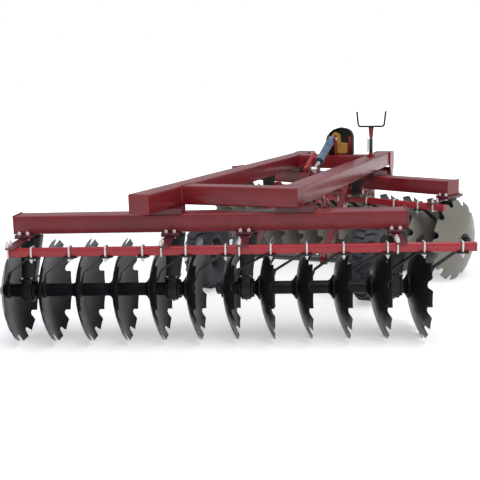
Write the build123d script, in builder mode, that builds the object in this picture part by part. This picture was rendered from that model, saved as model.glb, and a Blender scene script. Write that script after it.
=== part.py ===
from build123d import *
import os
from dataclasses import dataclass
from math import atan2, cos, degrees, hypot, pi, radians, sin

os.makedirs("parts", exist_ok=True)

# Places along the machine. The origin is on the ground under the middle of the outline, +Y is the way it is
# towed and +X is its right-hand side. Distances "ahead" are counted from the rear gang's middle.
rear_datum_y = -1588.7
frame_x = 16.4

# Main frame, four rectangular tubes
beam_wide = 134.0
beam_high = 119.0
frame_top = 947.0
frame_half_track = 382.5
left_beam_tail = -391.0
rear_cross_ahead = 42.0
front_gang_ahead = 2429.0
front_cross_ahead = front_gang_ahead + 18.0
cross_deep = 138.0
frame_nose_ahead = front_gang_ahead + 548.0

# Discs on the gangs, and the gang beams with the pads between them and the frame
disc_pitch = 228.0
discs_in_half = 6
gang_beam_length = disc_pitch * (2 * discs_in_half - 1) - 82.0
gang_beam_wide = 166.0
gang_beam_high = 112.0
gang_beam_top = 794.0
cap_thick = 8.0
cap_lip = 6.0
pad_long = 240.0
pad_deep = 190.0

# Dished discs with straight-cut teeth between the notches; the radius is out to the corners that the
# notches take away
disc_radius = 330.0
disc_thick = 6.0
disc_dish = 90.0
disc_knee_radius = 205.0
disc_knee_rise = 30.0
hub_flat_radius = 75.0
notch_count = 12
notch_mouth = 74.0
notch_floor = 34.0
notch_depth = 50.0

# Gang axles, spools and bearings
axle_side = 40.0
axle_fit = 0.3
spool_radius = 41.0
spool_sides = 12
flange_radius = 75.0
flange_long = 35.0
flange_edge = 8.0
washer_radius = 60.0
washer_thick = 12.0
nut_across_corners = 78.0
nut_long = 36.0
bearing_after_rim = 52.0
bearing_discs = (0, 4)
bearing_radius = 72.0
bearing_long = 90.0
bearing_fit = 0.5
bearing_pad_half = 50.0

# Hangers that carry the bearings under the gang beams
hanger_plate_long = 110.0
hanger_plate_thick = 24.0
hanger_plate_lip = 32.0
hanger_top_reach = (-35.0, 78.0)
hanger_foot_reach = (-35.0, 42.0)
hanger_top_half = 60.0
hanger_foot_half = 62.0
hanger_top_drop = 60.0
hanger_foot_thick = 12.0

# Scraper bars, their brackets and the scrapers
bar_side = 50.0
bar_top = 638.0
bar_behind = 252.0
bar_past_last_rim = 252.0
bracket_wide = 60.0
bracket_thick = 10.0
bracket_past_bar = 22.0
scraper_wide = 45.0
scraper_thick = 8.0
scraper_start = 215.0
scraper_clamp_long = 65.0
scraper_clamp_past_bar = 23.0
scraper_clamp_lead = 13.0
scraper_ahead_of_bar = 27.5
scraper_bend = (8.0, 485.0)
scraper_tip = (-12.0, 423.0)

# Rock shaft with the wheel arms
rock_ahead = 1845.0
rock_height = 713.0
rock_radius = 38.0
rock_sides = 16
rock_half = 430.0
rock_bearing_radius = 60.0
rock_bearing_wide = 60.0
rock_bearing_long = 150.0
running_fit = 0.3
wheel_ahead = 1130.0
wheel_radius = 287.0
wheel_wide = 176.0
wheel_half_track = 645.0
arm_half_track = 300.0
arm_thick = 50.0
arm_root_radius = 58.0
arm_tip_radius = 44.0
axle_radius = 25.0
axle_past_wheel = 6.0
rim_radius = 128.0
rim_wide = 150.0
rim_wall = 8.0
hub_radius = 48.0
hub_inside_tyre = 2.0
wheel_sides = 24
tyre_profile = (
    (75.0, rim_radius),
    (88.0, wheel_radius - 82.0),
    (82.0, wheel_radius - 29.0),
    (62.0, wheel_radius - 16.0),
)
lug_wide = 30.0
lug_slant = 22.0
lug_reach = (4.0, 84.0)
lug_shoulder = 60.0
lug_root = wheel_radius - 37.0
lug_edge = wheel_radius - 21.0
lug_top = wheel_radius - 3.0

# Lift lever, cylinder and mast
lever_length = 170.0
lever_angle = 65.2
lever_thick = 12.0
lever_tip_radius = 42.0
lever_root_radius = 55.0
lever_hole_radius = 20.5
eye_wide = 50.0
eye_side_gap = 2.0
pin_radius = 12.5
mast_pin_ahead = front_cross_ahead + 11.0
mast_pin_height = 1087.0
mast_thick = 12.0
mast_head_radius = 38.0
mast_foot_start = 4.0
mast_foot_end = 70.0
guard_deep = 60.0
guard_thick = 8.0
guard_back = 5.0
guard_outline = (
    (-65, 0), (-65, 157), (-42, 193), (-4, 225), (55, 244), (120, 232), (157, 208), (176, 161), (176, 0),
)
box_outline = ((10, 0), (124, 0), (124, 90), (60, 98), (52, 176), (12, 196), (-24, 170), (-22, 132), (10, 98))
box_deep = 48.0
post_place = (128.0, 164.0)
post_high = 168.0
post_deep = 36.0
barrel_radius = 38.0
barrel_start = 62.0
barrel_end = 430.0
barrel_eye_radius = 30.0
barrel_neck_radius = 22.0
rod_radius = 18.0
rod_start = 150.0
rod_eye_radius = 28.0
rod_bore_start = 100.0
strut_radius = 21.0
strut_beside = 80.0
strut_start = 290.0
strut_end = 590.0
strut_clamp_long = 50.0
strut_clamp_thick = 30.0

# Drawbar, hinged on lugs at the frame's nose
hinge_ahead = frame_nose_ahead - 77.0
hinge_height = 763.0
hinge_pin_radius = 16.0
lug_thick = 12.0
lug_long = 170.0
lug_half = 55.0
lug_drop = 40.0
boss_radius = 42.0
boss_side_gap = 3.0
arm_bar_wide = 60.0
arm_bar_high = 80.0
tongue_wide = 120.0
tongue_high = 100.0
tongue_start_ahead = hinge_ahead + 630.0
tongue_end_ahead = tongue_start_ahead + 260.0
tongue_height = 433.0
brace_ahead = hinge_ahead + 300.0
brace_side = 60.0
clevis_plate_thick = 20.0
clevis_pin_ahead = tongue_end_ahead + 70.0
clevis_tip_radius = 40.0
clevis_hole_radius = 16.0

# Parking stand beside the tongue
stand_ahead = tongue_end_ahead - 75.0
sleeve_side = 62.0
sleeve_low = 290.0
sleeve_high = 683.0
leg_side = 50.0
leg_gap = 0.5
leg_top = 673.0
foot_side = 160.0
foot_thick = 12.0

# Hose fork on the right-hand beam
fork_ahead = front_cross_ahead - 107.0
fork_beside_beam = 0.0
fork_base_side = 62.0
fork_base_thick = 8.0
fork_stub_radius = 18.0
fork_stub_high = 26.0
fork_sleeve_radius = 15.0
fork_sleeve_high = 120.0
fork_post_radius = 9.0
fork_gusset_low = 100.0
fork_gusset_wide = (26.0, 46.0)
fork_gusset_thick = 10.0
fork_rod_radius = 8.0
fork_floor_wide = 222.0
fork_mouth_wide = 250.0
fork_rod_height = 1205.0
fork_top = 1333.0
fork_bend = 14.0

# Pin sockets on the rear gang beam, beside the right-hand frame beam
socket_radius = 24.0
socket_bore_radius = 18.0
socket_long = 90.0
socket_plate_thick = 15.0
socket_spread = 49.0
socket_step = 50.0
socket_past_pad = 26.0


def ahead(distance):
    """Y of a place that is so far ahead of the rear gang's middle."""
    return rear_datum_y + distance


def save(piece, name):
    """Label a finished piece and write its file."""
    piece.label = name
    export_step(piece, f"parts/{name}.step")


@dataclass(frozen=True)
class Gang:
    """One row of discs under its beam. u runs along the axle from the beam's middle to the side that the
    hollow faces look at, n runs forward and z up."""

    name: str
    halves: tuple
    x: float
    y: float
    heading: float
    hand: int
    beam_ahead: float
    first_rim: float
    bar_before_rim: float
    clamp_shifts: tuple

    def run(self):
        """Direction of u."""
        return Vector(cos(radians(self.heading)), sin(radians(self.heading)), 0)

    def side(self):
        """Direction a quarter turn to the left of u: forward on one gang, backward on the other."""
        return Vector(0, 0, 1).cross(self.run())

    def at(self, u, n=0.0, z=0.0):
        """Point at u, n, z."""
        return Vector(self.x, self.y, z) + self.run() * u + self.side() * (n * self.hand)

    def across(self, u, z=0.0):
        """Plane square to the axle, with its y up."""
        return Plane(origin=self.at(u, 0, z), x_dir=self.side(), z_dir=self.run())

    def level(self, z):
        """Level plane with its x along u."""
        return Plane(origin=self.at(0, 0, z), x_dir=self.run(), z_dir=(0, 0, 1))

    def along(self, n):
        """Upright plane along the axle, with x along u and y up."""
        return Plane(origin=self.at(0, n), x_dir=self.run(), z_dir=self.run().cross(Vector(0, 0, 1)))

    def rim(self, index):
        """u of a disc's rim."""
        return -gang_beam_length / 2 + self.first_rim + disc_pitch * index

    def hub(self, index):
        """u of the back face of a disc's flat middle."""
        return self.rim(index) - disc_dish

    def bearings(self):
        """u of each bearing."""
        picks = [half * discs_in_half + disc for half in (0, 1) for disc in bearing_discs]
        return [self.rim(pick) + bearing_after_rim for pick in picks]

    def beam_u(self, x):
        """u at which the gang beam passes under a line that runs fore and aft at x."""
        middle = self.at(0, self.beam_ahead)
        return (x - middle.X) / self.run().X


# Each scraper's clamp sits a little to one side of its even place along the bar
rear_clamp_shifts = (-13, -15, -27, -36, -9, -5, 30, 11, -5, 19, -1, -12)
front_clamp_shifts = (-20, -27, 13, 0, 0, 0, 0, 0, 0, 0, 0, 0)

# Columns: name, names of the halves in u order, x, y, heading, hand, beam ahead of axle,
# first rim from the beam's end, start of the scraper bar from the first rim, shifts of the clamps
gangs = (
    Gang("rear", ("left", "right"), -85.6, ahead(-33.0), 18.9, 1, 53.0, 15.0, -29.0, rear_clamp_shifts),
    Gang("front", ("right", "left"), 31.4, ahead(front_gang_ahead), 156.6, -1, 0.0, -18.0, 60.0,
         front_clamp_shifts),
)
discs_in_gang = 2 * discs_in_half

# Heights and places that follow from the sizes
frame_bottom = frame_top - beam_high
gang_beam_bottom = gang_beam_top - gang_beam_high
hanger_plate_bottom = gang_beam_bottom - hanger_plate_thick
axle_height = disc_radius * cos(pi / notch_count)
bearing_top = axle_height + bearing_radius
bar_bottom = bar_top - bar_side
lever_tip_ahead = rock_ahead + lever_length * cos(radians(lever_angle))
lever_tip_height = rock_height + lever_length * sin(radians(lever_angle))
cylinder_length = hypot(mast_pin_ahead - lever_tip_ahead, mast_pin_height - lever_tip_height)
cylinder_slope = degrees(atan2(mast_pin_height - lever_tip_height, mast_pin_ahead - lever_tip_ahead))
plate_gap_half = eye_wide / 2 + eye_side_gap
hinge_y = ahead(hinge_ahead)


def beam_x(side):
    """X of a frame beam's middle; side is -1 on the left and 1 on the right."""
    return frame_x + side * frame_half_track


# Frame beams
for side, name, tail in ((-1, "left", left_beam_tail), (1, "right", rear_cross_ahead + cross_deep)):
    with BuildPart() as frame_beam:
        beam_start = (beam_x(side), ahead(tail), frame_bottom)
        with BuildSketch(Plane(origin=beam_start, x_dir=(1, 0, 0), z_dir=(0, 1, 0))):
            with Locations((0, -beam_high / 2)):
                Rectangle(beam_wide, beam_high)
        extrude(amount=frame_nose_ahead - tail)
    save(frame_beam.part, f"frame_{name}_beam")

# Frame cross-members. The rear one covers the end of the right-hand beam, the front one lies between
# the beams.
cross_members = (
    ("rear", rear_cross_ahead, beam_wide / 2),
    ("front", front_cross_ahead, -beam_wide / 2),
)
for name, start, right_reach in cross_members:
    left_end = beam_x(-1) + beam_wide / 2
    right_end = beam_x(1) + right_reach
    with BuildPart() as cross_member:
        with BuildSketch(Plane.XY.offset(frame_bottom)):
            with Locations(((left_end + right_end) / 2, ahead(start) + cross_deep / 2)):
                Rectangle(right_end - left_end, cross_deep)
        extrude(amount=beam_high)
    save(cross_member.part, f"frame_{name}_cross")

# Gang beams with an end plate at each end
for gang in gangs:
    middle_z = gang_beam_top - gang_beam_high / 2
    middle = gang.hand * gang.beam_ahead
    with BuildPart() as gang_beam:
        with BuildSketch(gang.across(-gang_beam_length / 2 + cap_thick, middle_z)):
            with Locations((middle, 0)):
                Rectangle(gang_beam_wide, gang_beam_high)
        extrude(amount=gang_beam_length - 2 * cap_thick)
        for u in (-gang_beam_length / 2, gang_beam_length / 2 - cap_thick):
            with BuildSketch(gang.across(u, middle_z)):
                with Locations((middle, cap_lip / 2)):
                    Rectangle(gang_beam_wide + cap_lip, gang_beam_high + cap_lip)
            extrude(amount=cap_thick)
    save(gang_beam.part, f"{gang.name}_gang_beam")

# Pads between the gang beams and the frame
for gang in gangs:
    with BuildPart() as pads:
        with BuildSketch(gang.level(gang_beam_top)):
            crossings = [gang.beam_u(beam_x(side)) for side in (-1, 1)]
            with Locations(*[(u, gang.hand * gang.beam_ahead) for u in crossings]):
                Rectangle(pad_long, pad_deep)
        extrude(amount=frame_bottom - gang_beam_top)
    save(pads.part, f"{gang.name}_frame_pads")


def regular_outline(z, radius):
    """A disc's many-sided outline at one height over its back."""
    with BuildSketch(Plane.XY.offset(z)) as outline:
        RegularPolygon(radius=radius, side_count=notch_count, rotation=180 / notch_count)
    return outline.sketch


def flared_stage(start, inner, outer, rise):
    """A straight stage whose back edges are cut away, so that it widens from inner to outer over its rise."""
    with BuildPart() as stage:
        extrude(regular_outline(start, outer), amount=rise + disc_thick)
        back = stage.faces().sort_by(Axis.Z)[0]
        spread = (outer - inner) * cos(pi / notch_count)
        chamfer(back.edges(), length=spread, length2=rise, reference=back)
    return stage.part


def bowl(start):
    """The bowl of a disc, filled, in two stages of growing slope."""
    with BuildPart() as filled:
        add(flared_stage(start, hub_flat_radius, disc_knee_radius, disc_knee_rise))
        add(flared_stage(start + disc_knee_rise, disc_knee_radius, disc_radius, disc_dish - disc_knee_rise))
    return filled.part


# One disc, lying on its back: a dished plate with round-cornered notches and a square hole
with BuildPart() as disc:
    add(bowl(0))
    add(bowl(disc_thick), mode=Mode.SUBTRACT)
    with BuildSketch() as openings:
        with PolarLocations(0, notch_count, start_angle=180 / notch_count):
            Polygon(
                (disc_radius + disc_thick, notch_mouth / 2),
                (disc_radius - notch_depth, notch_floor / 2),
                (disc_radius - notch_depth, -notch_floor / 2),
                (disc_radius + disc_thick, -notch_mouth / 2),
                align=None,
            )
        Rectangle(axle_side + 2 * axle_fit, axle_side + 2 * axle_fit)
    extrude(amount=disc_dish + 2 * disc_thick, mode=Mode.SUBTRACT)

# One spool, standing on its plain end, with the bell flange that backs the next disc on top
spool_long = disc_pitch - disc_thick
with BuildPart() as spool:
    with BuildSketch():
        RegularPolygon(radius=spool_radius, side_count=spool_sides)
    extrude(amount=spool_long)
    with BuildSketch(Plane.XY.offset(spool_long - flange_long)) as flange_outline:
        RegularPolygon(radius=flange_radius, side_count=spool_sides)
    flange = extrude(flange_outline.sketch, amount=flange_long, mode=Mode.PRIVATE)
    under = flange.faces().sort_by(Axis.Z)[0]
    bell = flange.chamfer(
        (flange_radius - spool_radius) * cos(pi / spool_sides), flange_long - flange_edge, under.edges(), under
    )
    add(bell)

# Discs and axles, two half gangs to a beam
for gang in gangs:
    for half, side_name in enumerate(gang.halves):
        indices = range(half * discs_in_half, (half + 1) * discs_in_half)
        hubs = [gang.hub(index) for index in indices]
        with BuildPart() as discs:
            with Locations(*[gang.across(hub, axle_height).location for hub in hubs]):
                add(disc.part)
        save(discs.part, f"{gang.name}_{side_name}_discs")

        # Square axle, a spool between each two discs, and a washer and nut at both ends
        head = hubs[0] - washer_thick - nut_long
        tail = hubs[-1] + disc_thick + washer_thick + nut_long
        with BuildPart() as axle:
            with BuildSketch(gang.across(head, axle_height)):
                Rectangle(axle_side, axle_side)
            extrude(amount=tail - head)
            with Locations(*[gang.across(hub + disc_thick, axle_height).location for hub in hubs[:-1]]):
                add(spool.part)
            for u in (hubs[0] - washer_thick, hubs[-1] + disc_thick):
                with BuildSketch(gang.across(u, axle_height)):
                    RegularPolygon(radius=washer_radius, side_count=spool_sides)
                extrude(amount=washer_thick)
            for u in (head, tail - nut_long):
                with BuildSketch(gang.across(u, axle_height)):
                    RegularPolygon(radius=nut_across_corners / 2, side_count=6)
                extrude(amount=nut_long)
        save(axle.part, f"{gang.name}_{side_name}_axle")

# Bearing housings round the spools
for gang in gangs:
    with BuildPart() as bearings:
        for u in gang.bearings():
            with BuildSketch(gang.across(u, axle_height)):
                RegularPolygon(radius=bearing_radius, side_count=8, major_radius=False, rotation=22.5)
                with Locations((0, bearing_radius / 2)):
                    Rectangle(2 * bearing_pad_half, bearing_radius)
                Circle(spool_radius + bearing_fit, mode=Mode.SUBTRACT)
            extrude(amount=bearing_long / 2, both=True)
    save(bearings.part, f"{gang.name}_bearings")

# Hangers: a plate under the beam, an upright that narrows downward, and a foot on the bearing
for gang in gangs:
    middle = gang.hand * gang.beam_ahead
    with BuildPart() as hangers:
        for u in gang.bearings():
            with BuildSketch(gang.level(hanger_plate_bottom)):
                with Locations((u, middle)):
                    Rectangle(hanger_plate_long, gang_beam_wide + 2 * hanger_plate_lip)
            extrude(amount=hanger_plate_thick)
            with BuildPart(mode=Mode.PRIVATE) as upright:
                with BuildSketch(gang.across(u + min(hanger_top_reach))):
                    Polygon(
                        (middle - hanger_top_half, hanger_plate_bottom),
                        (-bearing_pad_half, bearing_top),
                        (bearing_pad_half, bearing_top),
                        (middle + hanger_top_half, hanger_plate_bottom),
                        align=None,
                    )
                extrude(amount=max(hanger_top_reach) - min(hanger_top_reach))
                with BuildSketch(gang.along(-gang_beam_wide)):
                    Polygon(
                        (u + hanger_top_reach[0], hanger_plate_bottom),
                        (u + hanger_foot_reach[0], bearing_top),
                        (u + hanger_foot_reach[1], bearing_top),
                        (u + hanger_top_reach[1], hanger_plate_bottom - hanger_top_drop),
                        (u + hanger_top_reach[1], hanger_plate_bottom),
                        align=None,
                    )
                extrude(amount=2 * gang_beam_wide, both=True, mode=Mode.INTERSECT)
            add(upright.part)
            with BuildSketch(gang.level(bearing_top)):
                with Locations((u, 0)):
                    Rectangle(bearing_long, 2 * hanger_foot_half)
            extrude(amount=hanger_foot_thick)
    save(hangers.part, f"{gang.name}_hangers")

# Scraper bars
for gang in gangs:
    bar_start = gang.rim(0) - gang.bar_before_rim
    bar_end = gang.rim(discs_in_gang - 1) + bar_past_last_rim
    with BuildPart() as bar:
        with BuildSketch(gang.across(bar_start, bar_top - bar_side / 2)):
            with Locations((-gang.hand * bar_behind, 0)):
                Rectangle(bar_side, bar_side)
        extrude(amount=bar_end - bar_start)
    save(bar.part, f"{gang.name}_scraper_bar")

# Brackets from the hanger plates back to the top of the scraper bars
for gang in gangs:
    root = gang.beam_ahead - hanger_top_half - eye_side_gap
    slope_start = -bar_behind + 2 * bar_side
    slope_end = -bar_behind + bar_side * 3 / 4
    tip = -bar_behind - bar_side / 2 - bracket_past_bar
    under = hanger_plate_bottom - bracket_thick
    with BuildPart() as brackets:
        for u in gang.bearings():
            with BuildSketch(gang.across(u)):
                Polygon(
                    (gang.hand * root, hanger_plate_bottom),
                    (gang.hand * root, under),
                    (gang.hand * slope_start, under),
                    (gang.hand * slope_end, bar_top),
                    (gang.hand * tip, bar_top),
                    (gang.hand * tip, bar_top + bracket_thick),
                    (gang.hand * slope_end, bar_top + bracket_thick),
                    (gang.hand * slope_start, hanger_plate_bottom),
                    align=None,
                )
            extrude(amount=bracket_wide / 2, both=True)
    save(brackets.part, f"{gang.name}_bar_brackets")

# Scrapers: a clamp plate under the bar and a bent arm that ends at the disc's hollow face
for gang in gangs:
    clamp_bottom = bar_bottom - scraper_thick
    clamp_back = -bar_behind - bar_side / 2 - scraper_clamp_past_bar
    clamp_front = -bar_behind + bar_side / 2 + scraper_clamp_lead
    with BuildPart() as scrapers:
        for index in range(discs_in_gang):
            rim = gang.rim(index)
            clamp_end = rim + scraper_start + gang.clamp_shifts[index]
            clamp_u = clamp_end - scraper_clamp_long / 2
            with BuildSketch(gang.level(clamp_bottom)):
                with Locations((clamp_u, gang.hand * (clamp_back + clamp_front) / 2)):
                    Rectangle(scraper_clamp_long, clamp_front - clamp_back)
            extrude(amount=scraper_thick)
            bend_u, bend_z = scraper_bend
            tip_u, tip_z = scraper_tip
            with BuildSketch(gang.along(-bar_behind + scraper_ahead_of_bar)):
                Polygon(
                    (clamp_end, clamp_bottom),
                    (clamp_end - scraper_clamp_long, clamp_bottom),
                    (rim + bend_u, bend_z),
                    (rim + tip_u, tip_z),
                    (rim + tip_u + scraper_thick, tip_z),
                    (rim + bend_u + scraper_thick, bend_z - scraper_thick / 2),
                    (clamp_end - scraper_clamp_long, clamp_bottom - scraper_thick),
                    (clamp_end, clamp_bottom - scraper_thick),
                    align=None,
                )
            extrude(amount=scraper_wide / 2, both=True)
    save(scrapers.part, f"{gang.name}_scrapers")


def side_view(x):
    """Upright fore-and-aft plane at x, with its x forward and its y up."""
    return Plane(origin=(x, rear_datum_y, 0), x_dir=(0, 1, 0), z_dir=(1, 0, 0))


def tapered_link(root, root_radius, tip, tip_radius):
    """Outline of a flat link: two many-sided rounds and the straight sides between them."""
    length = hypot(tip[0] - root[0], tip[1] - root[1])
    turn = degrees(atan2(tip[1] - root[1], tip[0] - root[0]))
    with BuildSketch() as link:
        with Locations(Location((root[0], root[1], 0), (0, 0, turn))):
            RegularPolygon(root_radius, rock_sides)
            Polygon(
                (0, root_radius), (0, -root_radius), (length, -tip_radius), (length, tip_radius), align=None
            )
            with Locations((length, 0)):
                RegularPolygon(tip_radius, rock_sides)
    return link.sketch


rock_centre = (rock_ahead, rock_height)
wheel_centre = (wheel_ahead, wheel_radius)
lever_tip = (lever_tip_ahead, lever_tip_height)
mast_pin = (mast_pin_ahead, mast_pin_height)

# Rock-shaft bearings under the frame beams
with BuildPart() as rock_bearings:
    for side in (-1, 1):
        with BuildSketch(side_view(beam_x(side))):
            Polygon(
                (rock_ahead - rock_bearing_long / 2, frame_bottom),
                (rock_ahead - rock_bearing_radius, rock_height),
                (rock_ahead + rock_bearing_radius, rock_height),
                (rock_ahead + rock_bearing_long / 2, frame_bottom),
                align=None,
            )
            with Locations(rock_centre):
                Circle(rock_bearing_radius)
                Circle(rock_radius + running_fit, mode=Mode.SUBTRACT)
        extrude(amount=rock_bearing_wide / 2, both=True)
save(rock_bearings.part, "rock_shaft_bearings")

# Rock shaft with the two lever plates welded on it
with BuildPart() as rock_shaft:
    with BuildSketch(side_view(frame_x)):
        with Locations(rock_centre):
            RegularPolygon(rock_radius, rock_sides)
    extrude(amount=rock_half, both=True)
    for side in (-1, 1):
        with BuildSketch(side_view(frame_x + side * (plate_gap_half + lever_thick / 2))):
            add(tapered_link(rock_centre, lever_root_radius, lever_tip, lever_tip_radius))
            with Locations(lever_tip):
                Circle(lever_hole_radius, mode=Mode.SUBTRACT)
        extrude(amount=lever_thick / 2, both=True)
save(rock_shaft.part, "rock_shaft")

# Wheel arms
with BuildPart() as wheel_arms:
    for side in (-1, 1):
        with BuildSketch(side_view(frame_x + side * arm_half_track)):
            add(tapered_link(rock_centre, arm_root_radius, wheel_centre, arm_tip_radius))
            with Locations(rock_centre):
                RegularPolygon(rock_radius, rock_sides, mode=Mode.SUBTRACT)
            with Locations(wheel_centre):
                Circle(axle_radius, mode=Mode.SUBTRACT)
        extrude(amount=arm_thick / 2, both=True)
save(wheel_arms.part, "wheel_arms")

# Cross axle with a nut outside each wheel
with BuildPart() as wheel_axle:
    with BuildSketch(side_view(frame_x)):
        with Locations(wheel_centre):
            Circle(axle_radius)
    extrude(amount=wheel_half_track + wheel_wide / 2 + axle_past_wheel, both=True)
    for side in (-1, 1):
        with BuildSketch(side_view(frame_x + side * (wheel_half_track + wheel_wide / 2))):
            with Locations(wheel_centre):
                RegularPolygon(radius=axle_radius + washer_thick, side_count=6)
        extrude(amount=side * (axle_past_wheel + washer_thick))
save(wheel_axle.part, "wheel_axle")

# One tyre round its own middle. A sector is cut from its profile, gets its two slanted lugs, and the
# sectors are then set round the axle.
sector_half = 180 / wheel_sides
sector_reach = 2 * wheel_radius
with BuildPart() as sector:
    with BuildSketch(Plane.XZ):
        mirrored = [(-x, radius) for x, radius in reversed(tyre_profile)]
        Polygon(*tyre_profile, *mirrored, align=None)
    extrude(amount=wheel_radius / 4, both=True)
    with BuildSketch(Plane.YZ):
        Polygon(
            (0, 0),
            (-sector_reach * sin(radians(sector_half)), sector_reach * cos(radians(sector_half))),
            (sector_reach * sin(radians(sector_half)), sector_reach * cos(radians(sector_half))),
            align=None,
        )
    extrude(amount=wheel_wide, both=True, mode=Mode.INTERSECT)
lug_parts = []
for row in (-1, 1):
    slant = Plane(
        origin=(0, 0, 0),
        x_dir=(row * cos(radians(lug_slant)), sin(radians(lug_slant)), 0),
        z_dir=(row * sin(radians(lug_slant)), -cos(radians(lug_slant)), 0),
    )
    with BuildPart() as lug:
        with BuildSketch(slant):
            Polygon(
                (lug_reach[0], lug_root),
                (lug_reach[0], lug_top),
                (lug_shoulder, lug_top),
                (lug_reach[1], lug_edge),
                (lug_reach[1], lug_root),
                align=None,
            )
        extrude(amount=lug_wide / 2, both=True)
    lug_parts.append(Rot(row * sector_half / 2, 0, 0) * lug.part)
turns = [Rot(2 * sector_half * step, 0, 0) for step in range(wheel_sides)]
with BuildPart() as tyre:
    add([turn * sector.part for turn in turns])
    add([turn * lug_part for turn in turns for lug_part in lug_parts])

# One rim with its hub, round its own middle
half_hub = wheel_wide / 2 - hub_inside_tyre
with BuildPart() as rim:
    with BuildSketch(Plane.YZ):
        RegularPolygon(rim_radius, wheel_sides, major_radius=False, rotation=sector_half)
        RegularPolygon(
            rim_radius - rim_wall, wheel_sides, major_radius=False, rotation=sector_half, mode=Mode.SUBTRACT
        )
    extrude(amount=rim_wide / 2, both=True)
    with BuildSketch(Plane.YZ):
        RegularPolygon(rim_radius - rim_wall / 2, wheel_sides, major_radius=False, rotation=sector_half)
    extrude(amount=rim_wall / 2, both=True)
    with BuildSketch(Plane.YZ):
        RegularPolygon(hub_radius, 12, major_radius=False)
    extrude(amount=half_hub, both=True)
    with BuildSketch(Plane.YZ):
        Circle(axle_radius + running_fit)
    extrude(amount=wheel_wide, both=True, mode=Mode.SUBTRACT)

# The two transport wheels
for side, name in ((-1, "left"), (1, "right")):
    wheel_place = Pos(frame_x + side * wheel_half_track, ahead(wheel_ahead), wheel_radius)
    save(wheel_place * rim.part, f"{name}_wheel_rim")
    save(wheel_place * tyre.part, f"{name}_wheel_tyre")

# Mast on the front cross-member: two plates and the cylinder's pin
with BuildPart() as mast:
    for side in (-1, 1):
        with BuildSketch(side_view(frame_x + side * (plate_gap_half + mast_thick / 2))):
            Polygon(
                (front_cross_ahead + mast_foot_start, frame_top),
                (front_cross_ahead + mast_foot_end, frame_top),
                (mast_pin_ahead + mast_head_radius, mast_pin_height),
                (mast_pin_ahead, mast_pin_height - mast_head_radius / 2),
                align=None,
            )
            with Locations(mast_pin):
                Circle(mast_head_radius)
        extrude(amount=mast_thick / 2, both=True)
    with BuildSketch(side_view(frame_x)):
        with Locations(mast_pin):
            Circle(pin_radius)
    extrude(amount=plate_gap_half + mast_thick + eye_side_gap, both=True)
    post_y = ahead(front_cross_ahead + cross_deep) - guard_back - post_deep / 2
    with BuildSketch(Plane.XY.offset(frame_top + guard_thick)):
        with Locations((frame_x + sum(post_place) / 2, post_y)):
            Rectangle(post_place[1] - post_place[0], post_deep)
    extrude(amount=post_high - guard_thick)
save(mast.part, "mast")

# Lift cylinder. Its plane lies in the mast pin, with x down the cylinder and y square to it.
cylinder_plane = Plane(
    origin=(frame_x, ahead(mast_pin_ahead), mast_pin_height),
    x_dir=(0, -cos(radians(cylinder_slope)), -sin(radians(cylinder_slope))),
    z_dir=(1, 0, 0),
)


def round_bar(radius, start, end):
    """A round bar along the cylinder, from start to end down its line, or the hole for one."""
    base = cylinder_plane.from_local_coords((start, 0, 0))
    with BuildSketch(Plane(base, x_dir=(1, 0, 0), z_dir=cylinder_plane.x_dir)) as face:
        Circle(radius)
    return extrude(face.sketch, amount=end - start, mode=Mode.PRIVATE)


with BuildPart() as barrel:
    with BuildSketch(cylinder_plane):
        Circle(barrel_eye_radius)
    extrude(amount=eye_wide / 2, both=True)
    add(round_bar(barrel_neck_radius, 0, barrel_start))
    add(round_bar(barrel_radius, barrel_start, barrel_end))
    add(round_bar(rod_radius + running_fit, rod_bore_start, barrel_end), mode=Mode.SUBTRACT)
    with BuildSketch(cylinder_plane):
        Circle(pin_radius + running_fit)
    extrude(amount=eye_wide, both=True, mode=Mode.SUBTRACT)
save(barrel.part, "cylinder_barrel")

with BuildPart() as rod:
    add(round_bar(rod_radius, rod_start, cylinder_length))
    with BuildSketch(cylinder_plane):
        with Locations((cylinder_length, 0)):
            Circle(rod_eye_radius)
    extrude(amount=eye_wide / 2, both=True)
    with BuildSketch(cylinder_plane):
        with Locations((cylinder_length, 0)):
            Circle(pin_radius)
    extrude(amount=plate_gap_half + lever_thick + eye_side_gap, both=True)
save(rod.part, "cylinder_rod")

# Round strut clamped beside the barrel, on its left
strut_x = frame_x - strut_beside
strut_base = Vector(strut_x - frame_x, 0, 0)
clamp_middle = (strut_start + barrel_end) / 2
with BuildPart() as strut:
    strut_origin = cylinder_plane.from_local_coords((strut_start, 0, 0)) + strut_base
    with BuildSketch(Plane(strut_origin, x_dir=(1, 0, 0), z_dir=cylinder_plane.x_dir)):
        RegularPolygon(radius=strut_radius, side_count=12)
    extrude(amount=strut_end - strut_start)
    clamp_origin = cylinder_plane.from_local_coords((clamp_middle - strut_clamp_long / 2, 0, 0)) + strut_base
    with BuildSketch(Plane(clamp_origin, x_dir=(1, 0, 0), z_dir=cylinder_plane.x_dir)):
        with Locations((strut_beside / 2, 0)):
            Rectangle(strut_beside, strut_clamp_thick)
    extrude(amount=strut_clamp_long)
    add(round_bar(barrel_radius, 0, cylinder_length), mode=Mode.SUBTRACT)
save(strut.part, "lock_strut")

# Arched guard ahead of the mast's head, closed at its front, with a yellow box inside it
guard_plane = Plane(
    origin=(frame_x, ahead(front_cross_ahead + cross_deep), frame_top), x_dir=(1, 0, 0), z_dir=(0, -1, 0)
)
with BuildPart() as guard:
    with BuildSketch(guard_plane) as arch:
        Polygon(*guard_outline, align=None)
    extrude(amount=guard_deep)
    with BuildSketch(guard_plane.offset(guard_back)):
        add(offset(Polygon(*guard_outline, align=None, mode=Mode.PRIVATE), -guard_thick, kind=Kind.INTERSECTION,
                   mode=Mode.PRIVATE))
    extrude(amount=guard_deep, mode=Mode.SUBTRACT)
save(guard.part, "mast_guard")

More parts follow.
